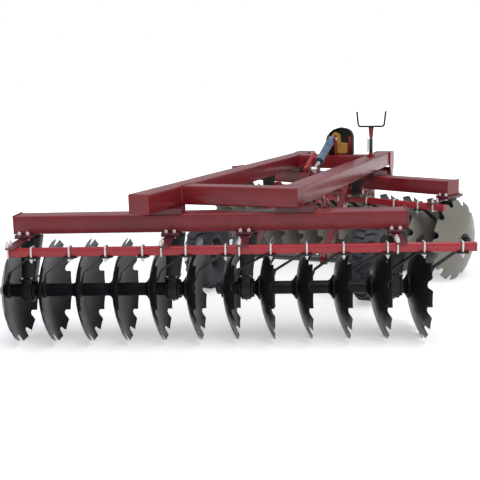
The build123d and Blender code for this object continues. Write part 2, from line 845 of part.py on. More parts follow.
with BuildPart() as box:
    with BuildSketch(guard_plane.offset(guard_back)):
        with Locations((0, guard_thick)):
            Polygon(*box_outline, align=None)
    extrude(amount=box_deep)
save(box.part, "valve_box")

# Lugs at the frame's nose, a pair to each beam, with the hinge pins
with BuildPart() as lugs:
    for side in (-1, 1):
        for face in (-1, 1):
            with BuildSketch(side_view(beam_x(side) + face * (beam_wide / 2 + lug_thick / 2))):
                Polygon(
                    (frame_nose_ahead - lug_long, frame_top),
                    (frame_nose_ahead, frame_top),
                    (frame_nose_ahead, frame_bottom),
                    (hinge_ahead + lug_half, hinge_height),
                    (hinge_ahead + lug_half / 2, hinge_height - lug_drop),
                    (hinge_ahead - lug_half / 2, hinge_height - lug_drop),
                    (hinge_ahead - lug_half, hinge_height),
                    (frame_nose_ahead - lug_long, frame_bottom),
                    align=None,
                )
                with Locations((hinge_ahead, hinge_height)):
                    Circle(hinge_pin_radius, mode=Mode.SUBTRACT)
            extrude(amount=lug_thick / 2, both=True)
save(lugs.part, "drawbar_lugs")

with BuildPart() as hinge_pins:
    for side in (-1, 1):
        with BuildSketch(side_view(beam_x(side))):
            with Locations((hinge_ahead, hinge_height)):
                Circle(hinge_pin_radius)
        extrude(amount=beam_wide / 2 + lug_thick + eye_side_gap, both=True)
save(hinge_pins.part, "drawbar_pins")

# Tongue with its clevis, one solid
tongue_start = (frame_x, ahead(tongue_start_ahead), tongue_height)
clevis_back = tongue_end_ahead - clevis_tip_radius
with BuildPart() as tongue:
    with BuildSketch(Plane(origin=tongue_start, x_dir=(1, 0, 0), z_dir=(0, 1, 0))):
        Rectangle(tongue_wide, tongue_high)
    extrude(amount=tongue_end_ahead - tongue_start_ahead)
    for z in (tongue_height - tongue_high / 2 - clevis_plate_thick, tongue_height + tongue_high / 2):
        with BuildSketch(Plane(origin=(frame_x, rear_datum_y, z), x_dir=(1, 0, 0), z_dir=(0, 0, 1))):
            Polygon(
                (-tongue_wide / 2, clevis_back - tongue_wide),
                (tongue_wide / 2, clevis_back - tongue_wide),
                (tongue_wide / 2, tongue_end_ahead),
                (clevis_tip_radius, clevis_pin_ahead),
                (-clevis_tip_radius, clevis_pin_ahead),
                (-tongue_wide / 2, tongue_end_ahead),
                align=None,
            )
            with Locations((0, clevis_pin_ahead)):
                Circle(clevis_tip_radius)
                Circle(clevis_hole_radius, mode=Mode.SUBTRACT)
        extrude(amount=clevis_plate_thick)
save(tongue.part, "drawbar_tongue")

# Drawbar arms, from their hinge bosses down to the tongue's sides
arm_parts = []
for side in (-1, 1):
    start = Vector(beam_x(side), hinge_y, hinge_height)
    end = Vector(frame_x + side * arm_bar_wide / 2, ahead(tongue_start_ahead) + tongue_wide, tongue_height)
    line = end - start
    with BuildPart() as drawbar_arm:
        with BuildSketch(Plane(origin=start, x_dir=Vector(0, 0, 1).cross(line), z_dir=line)):
            Rectangle(arm_bar_wide, arm_bar_high)
        extrude(amount=line.length)
        with BuildSketch(side_view(beam_x(side))):
            with Locations((hinge_ahead, hinge_height)):
                RegularPolygon(boss_radius, rock_sides)
        extrude(amount=beam_wide / 2 - boss_side_gap, both=True)
        with BuildSketch(side_view(beam_x(side))):
            with Locations((hinge_ahead, hinge_height)):
                Circle(hinge_pin_radius + running_fit)
        extrude(amount=beam_wide, both=True, mode=Mode.SUBTRACT)
        add(tongue.part, mode=Mode.SUBTRACT)
    arm_parts.append(drawbar_arm.part)
with BuildPart() as drawbar_arms:
    add(arm_parts)
save(drawbar_arms.part, "drawbar_arms")

# Brace between the drawbar arms
brace_share = (brace_ahead - hinge_ahead) / (tongue_start_ahead + tongue_wide - hinge_ahead)
brace_height = hinge_height + (tongue_height - hinge_height) * brace_share
with BuildPart() as brace:
    with BuildSketch(side_view(frame_x)):
        with Locations((brace_ahead, brace_height)):
            Rectangle(brace_side, brace_side)
    extrude(amount=frame_half_track * (1 - brace_share), both=True)
    for arm_part in arm_parts:
        add(arm_part, mode=Mode.SUBTRACT)
save(brace.part, "drawbar_brace")

# Parking stand: a sleeve on the tongue's right-hand side and the leg in it
sleeve_x = frame_x + tongue_wide / 2 + sleeve_side / 2
stand_y = ahead(stand_ahead)
with BuildPart() as sleeve:
    with BuildSketch(Plane.XY.offset(sleeve_low)):
        with Locations((sleeve_x, stand_y)):
            Rectangle(sleeve_side, sleeve_side)
            Rectangle(leg_side + 2 * leg_gap, leg_side + 2 * leg_gap, mode=Mode.SUBTRACT)
    extrude(amount=sleeve_high - sleeve_low)
save(sleeve.part, "stand_sleeve")

with BuildPart() as leg:
    with BuildSketch():
        with Locations((sleeve_x, stand_y)):
            Rectangle(foot_side, foot_side)
    extrude(amount=foot_thick)
    with BuildSketch(Plane.XY.offset(foot_thick)):
        with Locations((sleeve_x, stand_y)):
            Rectangle(leg_side, leg_side)
    extrude(amount=leg_top - foot_thick)
save(leg.part, "stand_leg")

# Hose fork: a post on a base, a sleeve round it, and a bent rod on the gusset at its top
fork_x = beam_x(1) + fork_beside_beam
fork_y = ahead(fork_ahead)
sleeve_bottom = frame_top + fork_base_thick + fork_stub_high
with BuildPart() as fork_post:
    with BuildSketch(Plane.XY.offset(frame_top)):
        with Locations((fork_x, fork_y)):
            Rectangle(fork_base_side, fork_base_side)
    extrude(amount=fork_base_thick)
    for radius, top in ((fork_stub_radius, sleeve_bottom), (fork_post_radius, fork_rod_height - fork_rod_radius)):
        with BuildSketch(Plane.XY.offset(frame_top)):
            with Locations((fork_x, fork_y)):
                RegularPolygon(radius=radius, side_count=12)
        extrude(amount=top - frame_top)
    with BuildSketch(Plane(origin=(fork_x, fork_y, fork_rod_height), x_dir=(1, 0, 0), z_dir=(0, -1, 0))):
        Polygon(
            (-fork_gusset_wide[1] / 2, -fork_rod_radius),
            (-fork_gusset_wide[0] / 2, -fork_gusset_low),
            (fork_gusset_wide[0] / 2, -fork_gusset_low),
            (fork_gusset_wide[1] / 2, -fork_rod_radius),
            align=None,
        )
    extrude(amount=fork_gusset_thick / 2, both=True)
save(fork_post.part, "fork_post")

with BuildPart() as fork_sleeve:
    with BuildSketch(Plane.XY.offset(sleeve_bottom)):
        with Locations((fork_x, fork_y)):
            RegularPolygon(radius=fork_sleeve_radius, side_count=12)
            RegularPolygon(radius=fork_post_radius, side_count=12, mode=Mode.SUBTRACT)
    extrude(amount=fork_sleeve_high)
save(fork_sleeve.part, "fork_sleeve")

with BuildPart() as fork:
    with BuildLine() as fork_line:
        corners = (
            (-fork_mouth_wide / 2, fork_top),
            (-fork_floor_wide / 2 - fork_bend / 8, fork_rod_height + fork_bend),
            (-fork_floor_wide / 2 + fork_bend, fork_rod_height),
            (fork_floor_wide / 2 - fork_bend, fork_rod_height),
            (fork_floor_wide / 2 + fork_bend / 8, fork_rod_height + fork_bend),
            (fork_mouth_wide / 2, fork_top),
        )
        Polyline(*[(fork_x + x, fork_y, z) for x, z in corners])
    with BuildSketch(Plane(origin=fork_line.line @ 0, x_dir=(0, 1, 0), z_dir=fork_line.line % 0)):
        RegularPolygon(radius=fork_rod_radius, side_count=8, major_radius=False, rotation=22.5)
    sweep(path=fork_line.line, transition=Transition.RIGHT)
save(fork.part, "hose_fork")

# Pin sockets on the rear gang beam beside the frame pad, two short tubes on a plate
rear = gangs[0]
socket_u = rear.beam_u(beam_x(1)) + pad_long / 2 + socket_past_pad
socket_z = gang_beam_top + socket_plate_thick + socket_radius - eye_side_gap
with BuildPart() as sockets:
    with BuildSketch(rear.level(gang_beam_top)):
        with Locations((socket_u + socket_spread / 2, rear.beam_ahead)):
            Rectangle(socket_spread + 2 * socket_radius, socket_long + socket_step)
    extrude(amount=socket_plate_thick)
    for u, n in ((socket_u, -socket_step / 2), (socket_u + socket_spread, socket_step / 2)):
        with BuildSketch(Plane(
            origin=rear.at(u, rear.beam_ahead + n, socket_z),
            x_dir=rear.run(),
            z_dir=rear.side(),
        )):
            Circle(socket_radius)
            Circle(socket_bore_radius, mode=Mode.SUBTRACT)
        extrude(amount=socket_long / 2, both=True)
save(sockets.part, "pin_sockets")
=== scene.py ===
"""A towed offset disc harrow: smooth forms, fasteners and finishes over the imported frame."""
import logging
from dataclasses import dataclass, field
from enum import Enum
from math import atan2, cos, hypot, pi, radians, sin, sqrt, tan

import bmesh
import bpy
from mathutils import Matrix, Vector


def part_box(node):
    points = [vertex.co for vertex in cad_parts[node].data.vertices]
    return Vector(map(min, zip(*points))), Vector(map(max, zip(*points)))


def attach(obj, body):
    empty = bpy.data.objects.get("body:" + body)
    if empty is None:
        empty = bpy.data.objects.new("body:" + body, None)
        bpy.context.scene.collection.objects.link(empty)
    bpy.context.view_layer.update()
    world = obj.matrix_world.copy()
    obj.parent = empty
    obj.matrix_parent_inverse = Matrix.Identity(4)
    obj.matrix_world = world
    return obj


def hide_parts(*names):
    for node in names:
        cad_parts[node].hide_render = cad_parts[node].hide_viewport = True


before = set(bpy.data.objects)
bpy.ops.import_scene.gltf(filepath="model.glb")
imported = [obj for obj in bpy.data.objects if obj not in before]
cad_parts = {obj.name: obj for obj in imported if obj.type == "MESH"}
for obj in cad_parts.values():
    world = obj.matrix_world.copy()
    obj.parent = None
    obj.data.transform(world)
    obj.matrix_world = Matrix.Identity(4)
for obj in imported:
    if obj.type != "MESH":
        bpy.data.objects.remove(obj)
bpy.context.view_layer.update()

log = logging.getLogger("disc_harrow")


class Slot(Enum):
    """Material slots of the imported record."""

    FRAME = "frame_red"
    BAR = "bar_red"
    DISC = "disc_black"
    HANGER = "hanger_black"
    AXLE = "axle_steel"
    PIN = "pin_steel"
    BARREL = "cylinder_blue"
    ROD = "rod_chrome"
    RIM = "wheel_rim"
    TYRE = "tyre"
    GUARD = "guard_black"
    BOX = "box_yellow"


class Body(Enum):
    """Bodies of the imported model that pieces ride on."""

    FRAME = "main_frame"
    WHEELS = "wheel_frame"
    LEFT_WHEEL = "left_wheel"
    RIGHT_WHEEL = "right_wheel"
    BARREL = "lift_barrel"
    ROD = "lift_rod"
    DRAWBAR = "drawbar"


def fill(node: bpy.types.Node, values: dict[str, object]) -> None:
    """Sets sockets of a shader node.

    Args:
        node: The node.
        values: Value of each socket by its name.
    """
    for socket, value in values.items():
        node.inputs[socket].default_value = value


def add_node(tree: bpy.types.NodeTree, kind: str, values: dict[str, object] | None = None,
             **settings: str) -> bpy.types.Node:
    """Adds a shader node.

    Args:
        tree: Tree of the material or world.
        kind: Its kind, without the start that all shader nodes share.
        values: Value of each socket by its name.
        settings: Settings of the node itself.

    Returns:
        The node.
    """
    node = tree.nodes.new(f"ShaderNode{kind}")
    for name, value in settings.items():
        setattr(node, name, value)
    fill(node, values or {})
    return node


def greatest(tree: bpy.types.NodeTree, *sockets: bpy.types.NodeSocket) -> bpy.types.NodeSocket:
    """Adds nodes that give the greatest of some values.

    Args:
        tree: Tree of the material or world.
        sockets: The values.

    Returns:
        A socket with the greatest one.
    """
    total = sockets[0]
    for socket in sockets[1:]:
        either = add_node(tree, "Math", operation="MAXIMUM")
        tree.links.new(total, either.inputs[0])
        tree.links.new(socket, either.inputs[1])
        total = either.outputs["Value"]
    return total


def mesh_from(bm: bmesh.types.BMesh, name: str) -> bpy.types.Mesh:
    """Turns a bmesh into a mesh and frees it.

    Args:
        bm: The bmesh.
        name: Name of the mesh.

    Returns:
        The mesh.
    """
    mesh = bpy.data.meshes.new(name)
    bm.to_mesh(mesh)
    bm.free()
    return mesh


def add_object(name: str, data: bpy.types.ID) -> bpy.types.Object:
    """Adds an object to the scene.

    Args:
        name: Its name.
        data: Its mesh, lamp or camera.

    Returns:
        The object.
    """
    made = bpy.data.objects.new(name, data)
    bpy.context.scene.collection.objects.link(made)
    return made


def node_box(node: str) -> tuple[Vector, Vector]:
    """Lowest and highest corner of a CAD node."""
    low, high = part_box(node)
    return Vector(low), Vector(high)


@dataclass(frozen=True)
class Nut:
    """Sizes of a nut or bolt head: across its flats, its height and its washer's radius."""

    across: float
    height: float
    washer: float = 0.0


WASHER_THICK = 0.003
COVER_NUT = Nut(0.013, 0.006)
HANGER_NUT = Nut(0.021, 0.012, 0.0125)
HANGER_HEAD = Nut(0.021, 0.012)
FOOT_NUT = Nut(0.015, 0.008)
U_BOLT_NUT = Nut(0.019, 0.010, 0.012)
LOCK_NUT = Nut(0.019, 0.008)
PORT_PLUG = Nut(0.020, 0.010)
BOX_SCREW = Nut(0.009, 0.004)
POST_NUT = Nut(0.012, 0.006)
WHEEL_NUT = Nut(0.019, 0.012, 0.012)


@dataclass(frozen=True)
class Finish:
    """A painted or bare surface with fine unevenness in its colour, gloss and height."""

    name: str
    colour: tuple[float, float, float]
    second: tuple[float, float, float]
    roughness: float = 0.4
    metallic: float = 0.0
    coat: float = 0.0
    specular: float = 0.5
    patch_scale: float = 6.0
    grain_scale: float = 260.0
    grain_height: float = 0.0004
    roughness_spread: float = 0.12
    # Colour of the faces marked by back_layer; on the front row's discs it is a painted reflection of light
    # on their convex backs
    back: tuple[float, float, float] | None = None
    back_layer: str = "back"

    def material(self) -> bpy.types.Material:
        """Builds the finish once and returns it.

        Returns:
            The material of this finish.
        """
        known = bpy.data.materials.get(self.name)
        if known:
            return known
        made = bpy.data.materials.new(self.name)
        made.use_nodes = True
        tree, link = made.node_tree, made.node_tree.links.new
        shader = tree.nodes["Principled BSDF"]
        fill(shader, {"Metallic": self.metallic, "Coat Weight": self.coat, "Coat Roughness": 0.18,
                      "Specular IOR Level": self.specular})
        place = add_node(tree, "TexCoord").outputs["Object"]
        patches = add_node(tree, "TexNoise", {"Scale": self.patch_scale, "Detail": 5.0})
        link(place, patches.inputs["Vector"])
        spread = add_node(tree, "MapRange", {"From Min": 0.35, "From Max": 0.7})
        link(patches.outputs["Fac"], spread.inputs["Value"])
        blend = self._mix(tree, self.colour, self.second)
        link(spread.outputs["Result"], blend.inputs["Factor"])
        tint = blend.outputs["Result"]
        # Mixes the back colour onto the discs' convex backs; on the front row this is painted light, the
        # black paint shown lit tan
        if self.back is not None:
            side = add_node(tree, "Attribute", attribute_name=self.back_layer)
            backed = self._mix(tree, self.colour, self.back)
            link(side.outputs["Fac"], backed.inputs["Factor"])
            link(tint, backed.inputs["A"])
            tint = backed.outputs["Result"]
        link(tint, shader.inputs["Base Color"])
        half = self.roughness_spread / 2
        gloss = add_node(tree, "MapRange", {"To Min": self.roughness - half,
                                            "To Max": self.roughness + half})
        link(patches.outputs["Fac"], gloss.inputs["Value"])
        link(gloss.outputs["Result"], shader.inputs["Roughness"])
        grain = add_node(tree, "TexNoise", {"Scale": self.grain_scale, "Detail": 3.0})
        link(place, grain.inputs["Vector"])
        bump = add_node(tree, "Bump", {"Distance": self.grain_height, "Strength": 0.6})
        link(grain.outputs["Fac"], bump.inputs["Height"])
        link(bump.outputs["Normal"], shader.inputs["Normal"])
        return made

    @staticmethod
    def _mix(tree: bpy.types.NodeTree, first: tuple, second: tuple) -> bpy.types.Node:
        """Adds a node that mixes two colours."""
        node = add_node(tree, "Mix", data_type="RGBA")
        fill(node, {"A": (*first, 1.0), "B": (*second, 1.0)})
        return node


FRAME_RED = Finish("deep_red_paint", (0.21, 0.008, 0.013), (0.155, 0.006, 0.010), 0.38, coat=0.22,
                   specular=0.4)
BAR_RED = Finish("bright_red_paint", (0.36, 0.012, 0.020), (0.28, 0.009, 0.016), 0.34, coat=0.25,
                 specular=0.4)
DARK_RED = Finish("dark_red_paint", (0.095, 0.006, 0.014), (0.060, 0.005, 0.010), 0.42, coat=0.15)
DISC_BLACK = Finish("disc_black_paint", (0.0065, 0.0075, 0.0105), (0.011, 0.0125, 0.017), 0.34, coat=0.10,
                    specular=0.35, roughness_spread=0.16, back=(0.012, 0.012, 0.014))
# Front-row discs: the same black paint, with the convex backs painted tan as a painted reflection of light
DISC_BLACK_PAINTED_LIT_BACK = Finish("disc_black_paint_painted_lit_back", (0.0065, 0.0085, 0.0115), (0.011, 0.0125, 0.017), 0.36,
                    coat=0.10, specular=0.35, roughness_spread=0.16, back=(0.20, 0.185, 0.150))
HANGER_BLACK = Finish("hanger_black_paint", (0.0065, 0.0080, 0.0078), (0.011, 0.014, 0.013), 0.45, coat=0.05,
                      specular=0.35)
SPOOL_BLACK = Finish("spool_black_paint", (0.0050, 0.0060, 0.0085), (0.009, 0.010, 0.013), 0.45,
                     specular=0.35)
ZINC = Finish("zinc_plate", (0.70, 0.64, 0.61), (0.58, 0.54, 0.52), 0.36, metallic=0.6, patch_scale=30.0)
DARK_STEEL = Finish("dark_steel", (0.10, 0.10, 0.11), (0.07, 0.07, 0.08), 0.42, metallic=0.7)
BARREL_BLUE = Finish("blue_grey_enamel", (0.045, 0.080, 0.145), (0.10, 0.16, 0.24), 0.22, coat=0.7,
                     patch_scale=28.0)
CHROME = Finish("rod_chrome", (0.72, 0.73, 0.75), (0.66, 0.67, 0.70), 0.12, metallic=1.0,
                grain_height=0.00005, roughness_spread=0.04)
RIM_GREY = Finish("rim_grey_paint", (0.085, 0.090, 0.100), (0.055, 0.058, 0.065), 0.5)
RUBBER = Finish("tyre_rubber", (0.030, 0.033, 0.040), (0.055, 0.060, 0.072), 0.68, grain_scale=420.0,
                grain_height=0.0006)
SLEEVE_BLACK = Finish("sleeve_rubber", (0.008, 0.008, 0.010), (0.014, 0.014, 0.016), 0.4, grain_scale=500.0)
GUARD_BLACK = Finish("guard_black_paint", (0.014, 0.012, 0.012), (0.024, 0.021, 0.020), 0.5, specular=0.3)
BOX_YELLOW = Finish("box_yellow_paint", (0.52, 0.265, 0.045), (0.36, 0.18, 0.035), 0.45, patch_scale=18.0)


@dataclass(frozen=True)
class Plan:
    """Places and heights that several sub-assemblies share. Forward places count from the rear gang."""

    datum: float = -1.5887
    frame_x: float = 0.0164
    half_track: float = 0.3825
    frame_top: float = 0.947
    beam_wide: float = 0.134
    front_cross: float = 2.447
    cross_deep: float = 0.138
    nose: float = 2.977
    rock: tuple[float, float] = (1.845, 0.713)
    wheel: tuple[float, float] = (1.130, 0.287)
    mast_pin: tuple[float, float] = (2.458, 1.087)
    lever_length: float = 0.170
    lever_angle: float = 65.2
    hinge: tuple[float, float] = (2.900, 0.763)
    tongue_start: float = 3.530
    tongue_height: float = 0.433
    tongue_wide: float = 0.120

    def point(self, x: float, ahead: float, z: float) -> Vector:
        """Point at x beside the frame's middle, so far ahead of the rear gang, at a height."""
        return Vector((self.frame_x + x, self.datum + ahead, z))

    def side_view(self, x: float) -> Matrix:
        """Upright fore-and-aft plane: its x forward, its y up, its z to the right."""
        turn = Matrix(((0, 0, 1), (1, 0, 0), (0, 1, 0))).to_4x4()
        return Matrix.Translation(self.point(x, 0.0, 0.0)) @ turn

    def rear_view(self, ahead: float, z: float) -> Matrix:
        """Upright cross plane: its x to the right, its y up, its z backward."""
        turn = Matrix(((1, 0, 0), (0, 0, -1), (0, 1, 0))).to_4x4()
        return Matrix.Translation(self.point(0.0, ahead, z)) @ turn

    def lever_tip(self) -> tuple[float, float]:
        """Forward place and height of the lift lever's pin."""
        turn = radians(self.lever_angle)
        return self.rock[0] + self.lever_length * cos(turn), self.rock[1] + self.lever_length * sin(turn)

    def cylinder(self) -> tuple[Matrix, float]:
        """Coordinates of the lift cylinder, z down its line from the mast's pin, and its length."""
        tip = self.lever_tip()
        back, drop = self.mast_pin[0] - tip[0], self.mast_pin[1] - tip[1]
        length = hypot(back, drop)
        down = Vector((0.0, -back / length, -drop / length))
        across = Vector((1.0, 0.0, 0.0))
        turn = Matrix((across, down.cross(across), down)).transposed().to_4x4()
        return Matrix.Translation(self.point(0.0, *self.mast_pin)) @ turn, length


PLAN = Plan()


def arc(centre: tuple[float, float], radius: float, start: float, end: float,
        steps: int = 12) -> list[tuple[float, float]]:
    """Points along an arc.

    Args:
        centre: Its middle.
        radius: Its radius.
        start: Angle of the first point in degrees.
        end: Angle of the last point in degrees.
        steps: Number of steps between them.

    Returns:
        The points in order.
    """
    turns = [radians(start + (end - start) * step / steps) for step in range(steps + 1)]
    return [(centre[0] + radius * cos(turn), centre[1] + radius * sin(turn)) for turn in turns]


def link_outline(root: tuple[float, float], root_radius: float, tip: tuple[float, float],
                 tip_radius: float) -> list[tuple[float, float]]:
    """Outline of a flat link with two round ends.

    Args:
        root: Middle of its first end.
        root_radius: Radius of its first end.
        tip: Middle of its second end.
        tip_radius: Radius of its second end.

    Returns:
        The outline's points.
    """
    turn = atan2(tip[1] - root[1], tip[0] - root[0]) * 180 / pi
    return arc(root, root_radius, turn + 90, turn + 270) + arc(tip, tip_radius, turn - 90, turn + 90)


class Workpiece:
    """One mesh piece in the making, in metres, with the operations that its forms need."""

    def __init__(self, name: str, place: Matrix | None = None) -> None:
        """Starts an empty piece.

        Args:
            name: Name of the finished object.
            place: Turn and place of the coordinates that the piece is built in.
        """
        self.name = name
        self.place = place or Matrix.Identity(4)
        self.bm = bmesh.new()

    def _since(self, before: set[bmesh.types.BMVert]) -> list[bmesh.types.BMVert]:
        """Vertices that were made since a moment."""
        return [v for v in self.bm.verts if v not in before]

    def _put(self, before: set[bmesh.types.BMVert], where: Matrix) -> None:
        """Turns and moves what was made since a moment."""
        bmesh.ops.transform(self.bm, matrix=where, verts=self._since(before))

    def _bevel(self, geom: list, size: float, steps: int, affect: str = "EDGES") -> None:
        """Bevels edges or corners."""
        bmesh.ops.bevel(self.bm, geom=geom, offset=size, offset_type="OFFSET", segments=steps, profile=0.5,
                        affect=affect, material=-1, clamp_overlap=True)

    def _extrude(self, faces: list[bmesh.types.BMFace], step: Vector) -> list[bmesh.types.BMVert]:
        """Extrudes faces by a step and returns the new vertices."""
        grown = bmesh.ops.extrude_face_region(self.bm, geom=faces)["geom"]
        new = [g for g in grown if isinstance(g, bmesh.types.BMVert)]
        bmesh.ops.translate(self.bm, vec=step, verts=new)
        return new

    def _flat(self, outline: list[tuple[float, float]], z: float, corner: float,
              steps: int) -> list[bmesh.types.BMFace]:
        """Adds a flat face with rounded corners at a height and returns it."""
        before = set(self.bm.verts)
        corners = [self.bm.verts.new((x, y, z)) for x, y in outline]
        self.bm.faces.new(corners)
        if corner > 0.0:
            self._bevel(corners, corner, steps, "VERTICES")
        return list({f for v in self._since(before) for f in v.link_faces})

    def block(self, centre: Vector, size: Vector, turn: Matrix | None = None, corner: float = 0.0,
              steps: int = 2, along: int | None = None) -> None:
        """Adds a box with rounded edges.

        Args:
            centre: Middle of the box.
            size: Its three sides.
            turn: Turn about its middle.
            corner: Radius of the rounded edges.
            steps: Segments across a rounded edge.
            along: Axis whose parallel edges alone are rounded, or None for all edges.
        """
        before = set(self.bm.verts)
        made = bmesh.ops.create_cube(self.bm, size=1.0)["verts"]
        bmesh.ops.scale(self.bm, vec=Vector(size), verts=made)
        if corner > 0.0:
            edges = {edge for vert in made for edge in vert.link_edges}
            if along is not None:
                edges = {e for e in edges if self.runs_along(e, along)}
            self._bevel(list(edges), corner, steps)
        self._put(before, Matrix.Translation(Vector(centre)) @ (turn or Matrix.Identity(4)))

    @staticmethod
    def runs_along(edge: bmesh.types.BMEdge, axis: int) -> bool:
        """Whether an edge runs along one of the three axes."""
        step = edge.verts[1].co - edge.verts[0].co
        return abs(step[axis]) > 0.9 * step.length

    def tapered_block(self, low: tuple, high: tuple, corner: float) -> None:
        """Adds a block between two level rectangles.

        Args:
            low: Lower rectangle, as first and last x, first and last y, and its z.
            high: Upper rectangle, given the same way.
            corner: Radius of the rounded edges.
        """
        before = set(self.bm.verts)
        for vert in bmesh.ops.create_cube(self.bm, size=1.0)["verts"]:
            level = high if vert.co.z > 0 else low
            vert.co = Vector((level[int(vert.co.x > 0)], level[2 + int(vert.co.y > 0)], level[4]))
        edges = {e for v in self._since(before) for e in v.link_edges}
        self._bevel(list(edges), corner, 2)

    def plate(self, outline: list[tuple[float, float]], plane: Matrix, thick: float, corner: float = 0.0,
              edge: float = 0.0015, steps: int = 4) -> None:
        """Adds a flat plate, half its thickness to each side of its plane.

        Args:
            outline: Points round it.
            plane: Coordinates of the outline.
            thick: Thickness of the plate.
            corner: Radius at the outline's corners.
            edge: Size of the bevel round its faces.
            steps: Segments round each corner.
        """
        before = set(self.bm.verts)
        faces = self._flat(outline, -thick / 2, corner, steps)
        self._extrude(faces, Vector((0.0, 0.0, thick)))
        if edge > 0.0:
            rims = {e for v in self._since(before) for e in v.link_edges
                    if abs(e.verts[0].co.z - e.verts[1].co.z) < 1e-6}
            self._bevel(list(rims), edge, 1)
        self._put(before, plane)

    def frame_strip(self, outline: list[tuple[float, float]], wall: float, deep: float,
                    corner: float) -> None:
        """Adds a closed strip that runs round an outline and rises from its plane.

        Args:
            outline: Points round its outside.
            wall: Thickness of the strip.
            deep: Depth of the strip.
            corner: Radius at the outline's corners.
        """
        faces = self._flat(outline, 0.0, corner, 5)
        ring = bmesh.ops.inset_region(self.bm, faces=faces, thickness=wall, use_even_offset=True,
                                      use_boundary=True)["faces"]
        bmesh.ops.delete(self.bm, geom=faces, context="FACES_ONLY")
        self._extrude(ring, Vector((0.0, 0.0, deep)))

    def copy_of(self, source: bpy.types.Mesh, place: Matrix) -> None:
        """Adds a copy of a mesh at a place.

        Args:
            source: The mesh.
            place: Turn and place of the copy.
        """
        count = len(self.bm.verts)
        self.bm.from_mesh(source)
        self.bm.verts.ensure_lookup_table()
        bmesh.ops.transform(self.bm, matrix=place, verts=self.bm.verts[count:])

    @staticmethod
    def turn_to(direction: Vector) -> Matrix:
        """Turn that takes +Z to a direction."""
        return Vector(direction).to_track_quat("Z", "Y").to_matrix().to_4x4()

    def turned(self, start: Vector, direction: Vector, profile: list[tuple[float, float]], steps: int = 28,
               closed: bool = False) -> None:
        """Adds a round piece made on a lathe.

        Args:
            start: Point of its axis from which the profile's distances count.
            direction: Way of its axis.
            profile: Points of half its section, each a distance along the axis and a radius.
            steps: Steps round it.
            closed: Whether the section closes on itself, clear of the axis.
        """
        before = set(self.bm.verts)
        line = [self.bm.verts.new((radius, 0.0, along)) for along, radius in profile]
        pairs = list(zip(line, line[1:]))
        if closed:
            pairs.append((line[-1], line[0]))
        edges = [self.bm.edges.new(pair) for pair in pairs]
        bmesh.ops.spin(self.bm, geom=line + edges, cent=Vector(), axis=Vector((0, 0, 1)), dvec=Vector(),
                       angle=2 * pi, steps=steps, use_merge=True, use_normal_flip=False,
                       use_duplicate=False)
        bmesh.ops.remove_doubles(self.bm, verts=self._since(before), dist=1e-6)
        self._put(before, Matrix.Translation(Vector(start)) @ self.turn_to(direction))

    def ring(self, middle: Vector, direction: Vector, inner: float, outer: float, wide: float,
             bevel: float = 0.0015, steps: int = 28) -> None:
        """Adds a flat-faced ring with bevelled edges.

        Args:
            middle: Its middle.
            direction: Way of its axis.
            inner: Radius of its bore.
            outer: Radius of its outside.
            wide: Its width along the axis.
            bevel: Size of the bevels on its outside.
            steps: Steps round it.
        """
        half = wide / 2
        profile = [(-half, inner), (-half, outer - bevel), (bevel - half, outer), (half - bevel, outer),
                   (half, outer - bevel), (half, inner)]
        self.turned(middle, direction, profile, steps, closed=True)

    def coil(self, start: Vector, end: Vector, radius: float, wire: float, turns: int) -> None:
        """Adds a coil spring between two points.

        Args:
            start: Its first end, on its axis.
            end: Its last end.
            radius: Radius of the wire's middle line.
            wire: Radius of the wire.
            turns: Number of turns.
        """
        start, end = Vector(start), Vector(end)
        before = set(self.bm.verts)
        steps = 12 * turns
        upright = Matrix.Translation(Vector((radius, 0, 0))) @ Matrix.Rotation(pi / 2, 4, "X")
        bmesh.ops.create_circle(self.bm, cap_ends=True, segments=6, radius=wire, matrix=upright)
        made = self._since(before)
        geom = made + list({e for v in made for e in v.link_edges})
        geom += list({f for v in made for f in v.link_faces})
        bmesh.ops.spin(self.bm, geom=geom, cent=Vector(), axis=Vector((0, 0, 1)),
                       dvec=Vector((0, 0, (end - start).length / steps)), angle=2 * pi * turns, steps=steps,
                       use_merge=False, use_normal_flip=False, use_duplicate=False)
        self._put(before, Matrix.Translation(start) @ self.turn_to(end - start))

    def rod(self, start: Vector, end: Vector, radius: float, sides: int = 20,
            chamfer: float = 0.0) -> None:
        """Adds a round or many-sided bar between two points.

        Args:
            start: Middle of its first face.
            end: Middle of its last face.
            radius: Its radius.
            sides: Sides of its outline.
            chamfer: Size of the bevel round its end faces.
        """
        start, end = Vector(start), Vector(end)
        line = end - start
        before = set(self.bm.verts)
        bmesh.ops.create_cone(self.bm, cap_ends=True, segments=sides, radius1=radius, radius2=radius,
                              depth=line.length)
        if chamfer > 0.0:
            rings = {e for v in self._since(before) for e in v.link_edges
                     if len({p.co.z > 0 for p in e.verts}) == 1}
            self._bevel(list(rings), chamfer, 1)
        self._put(before, Matrix.Translation((start + end) / 2) @ self.turn_to(line))

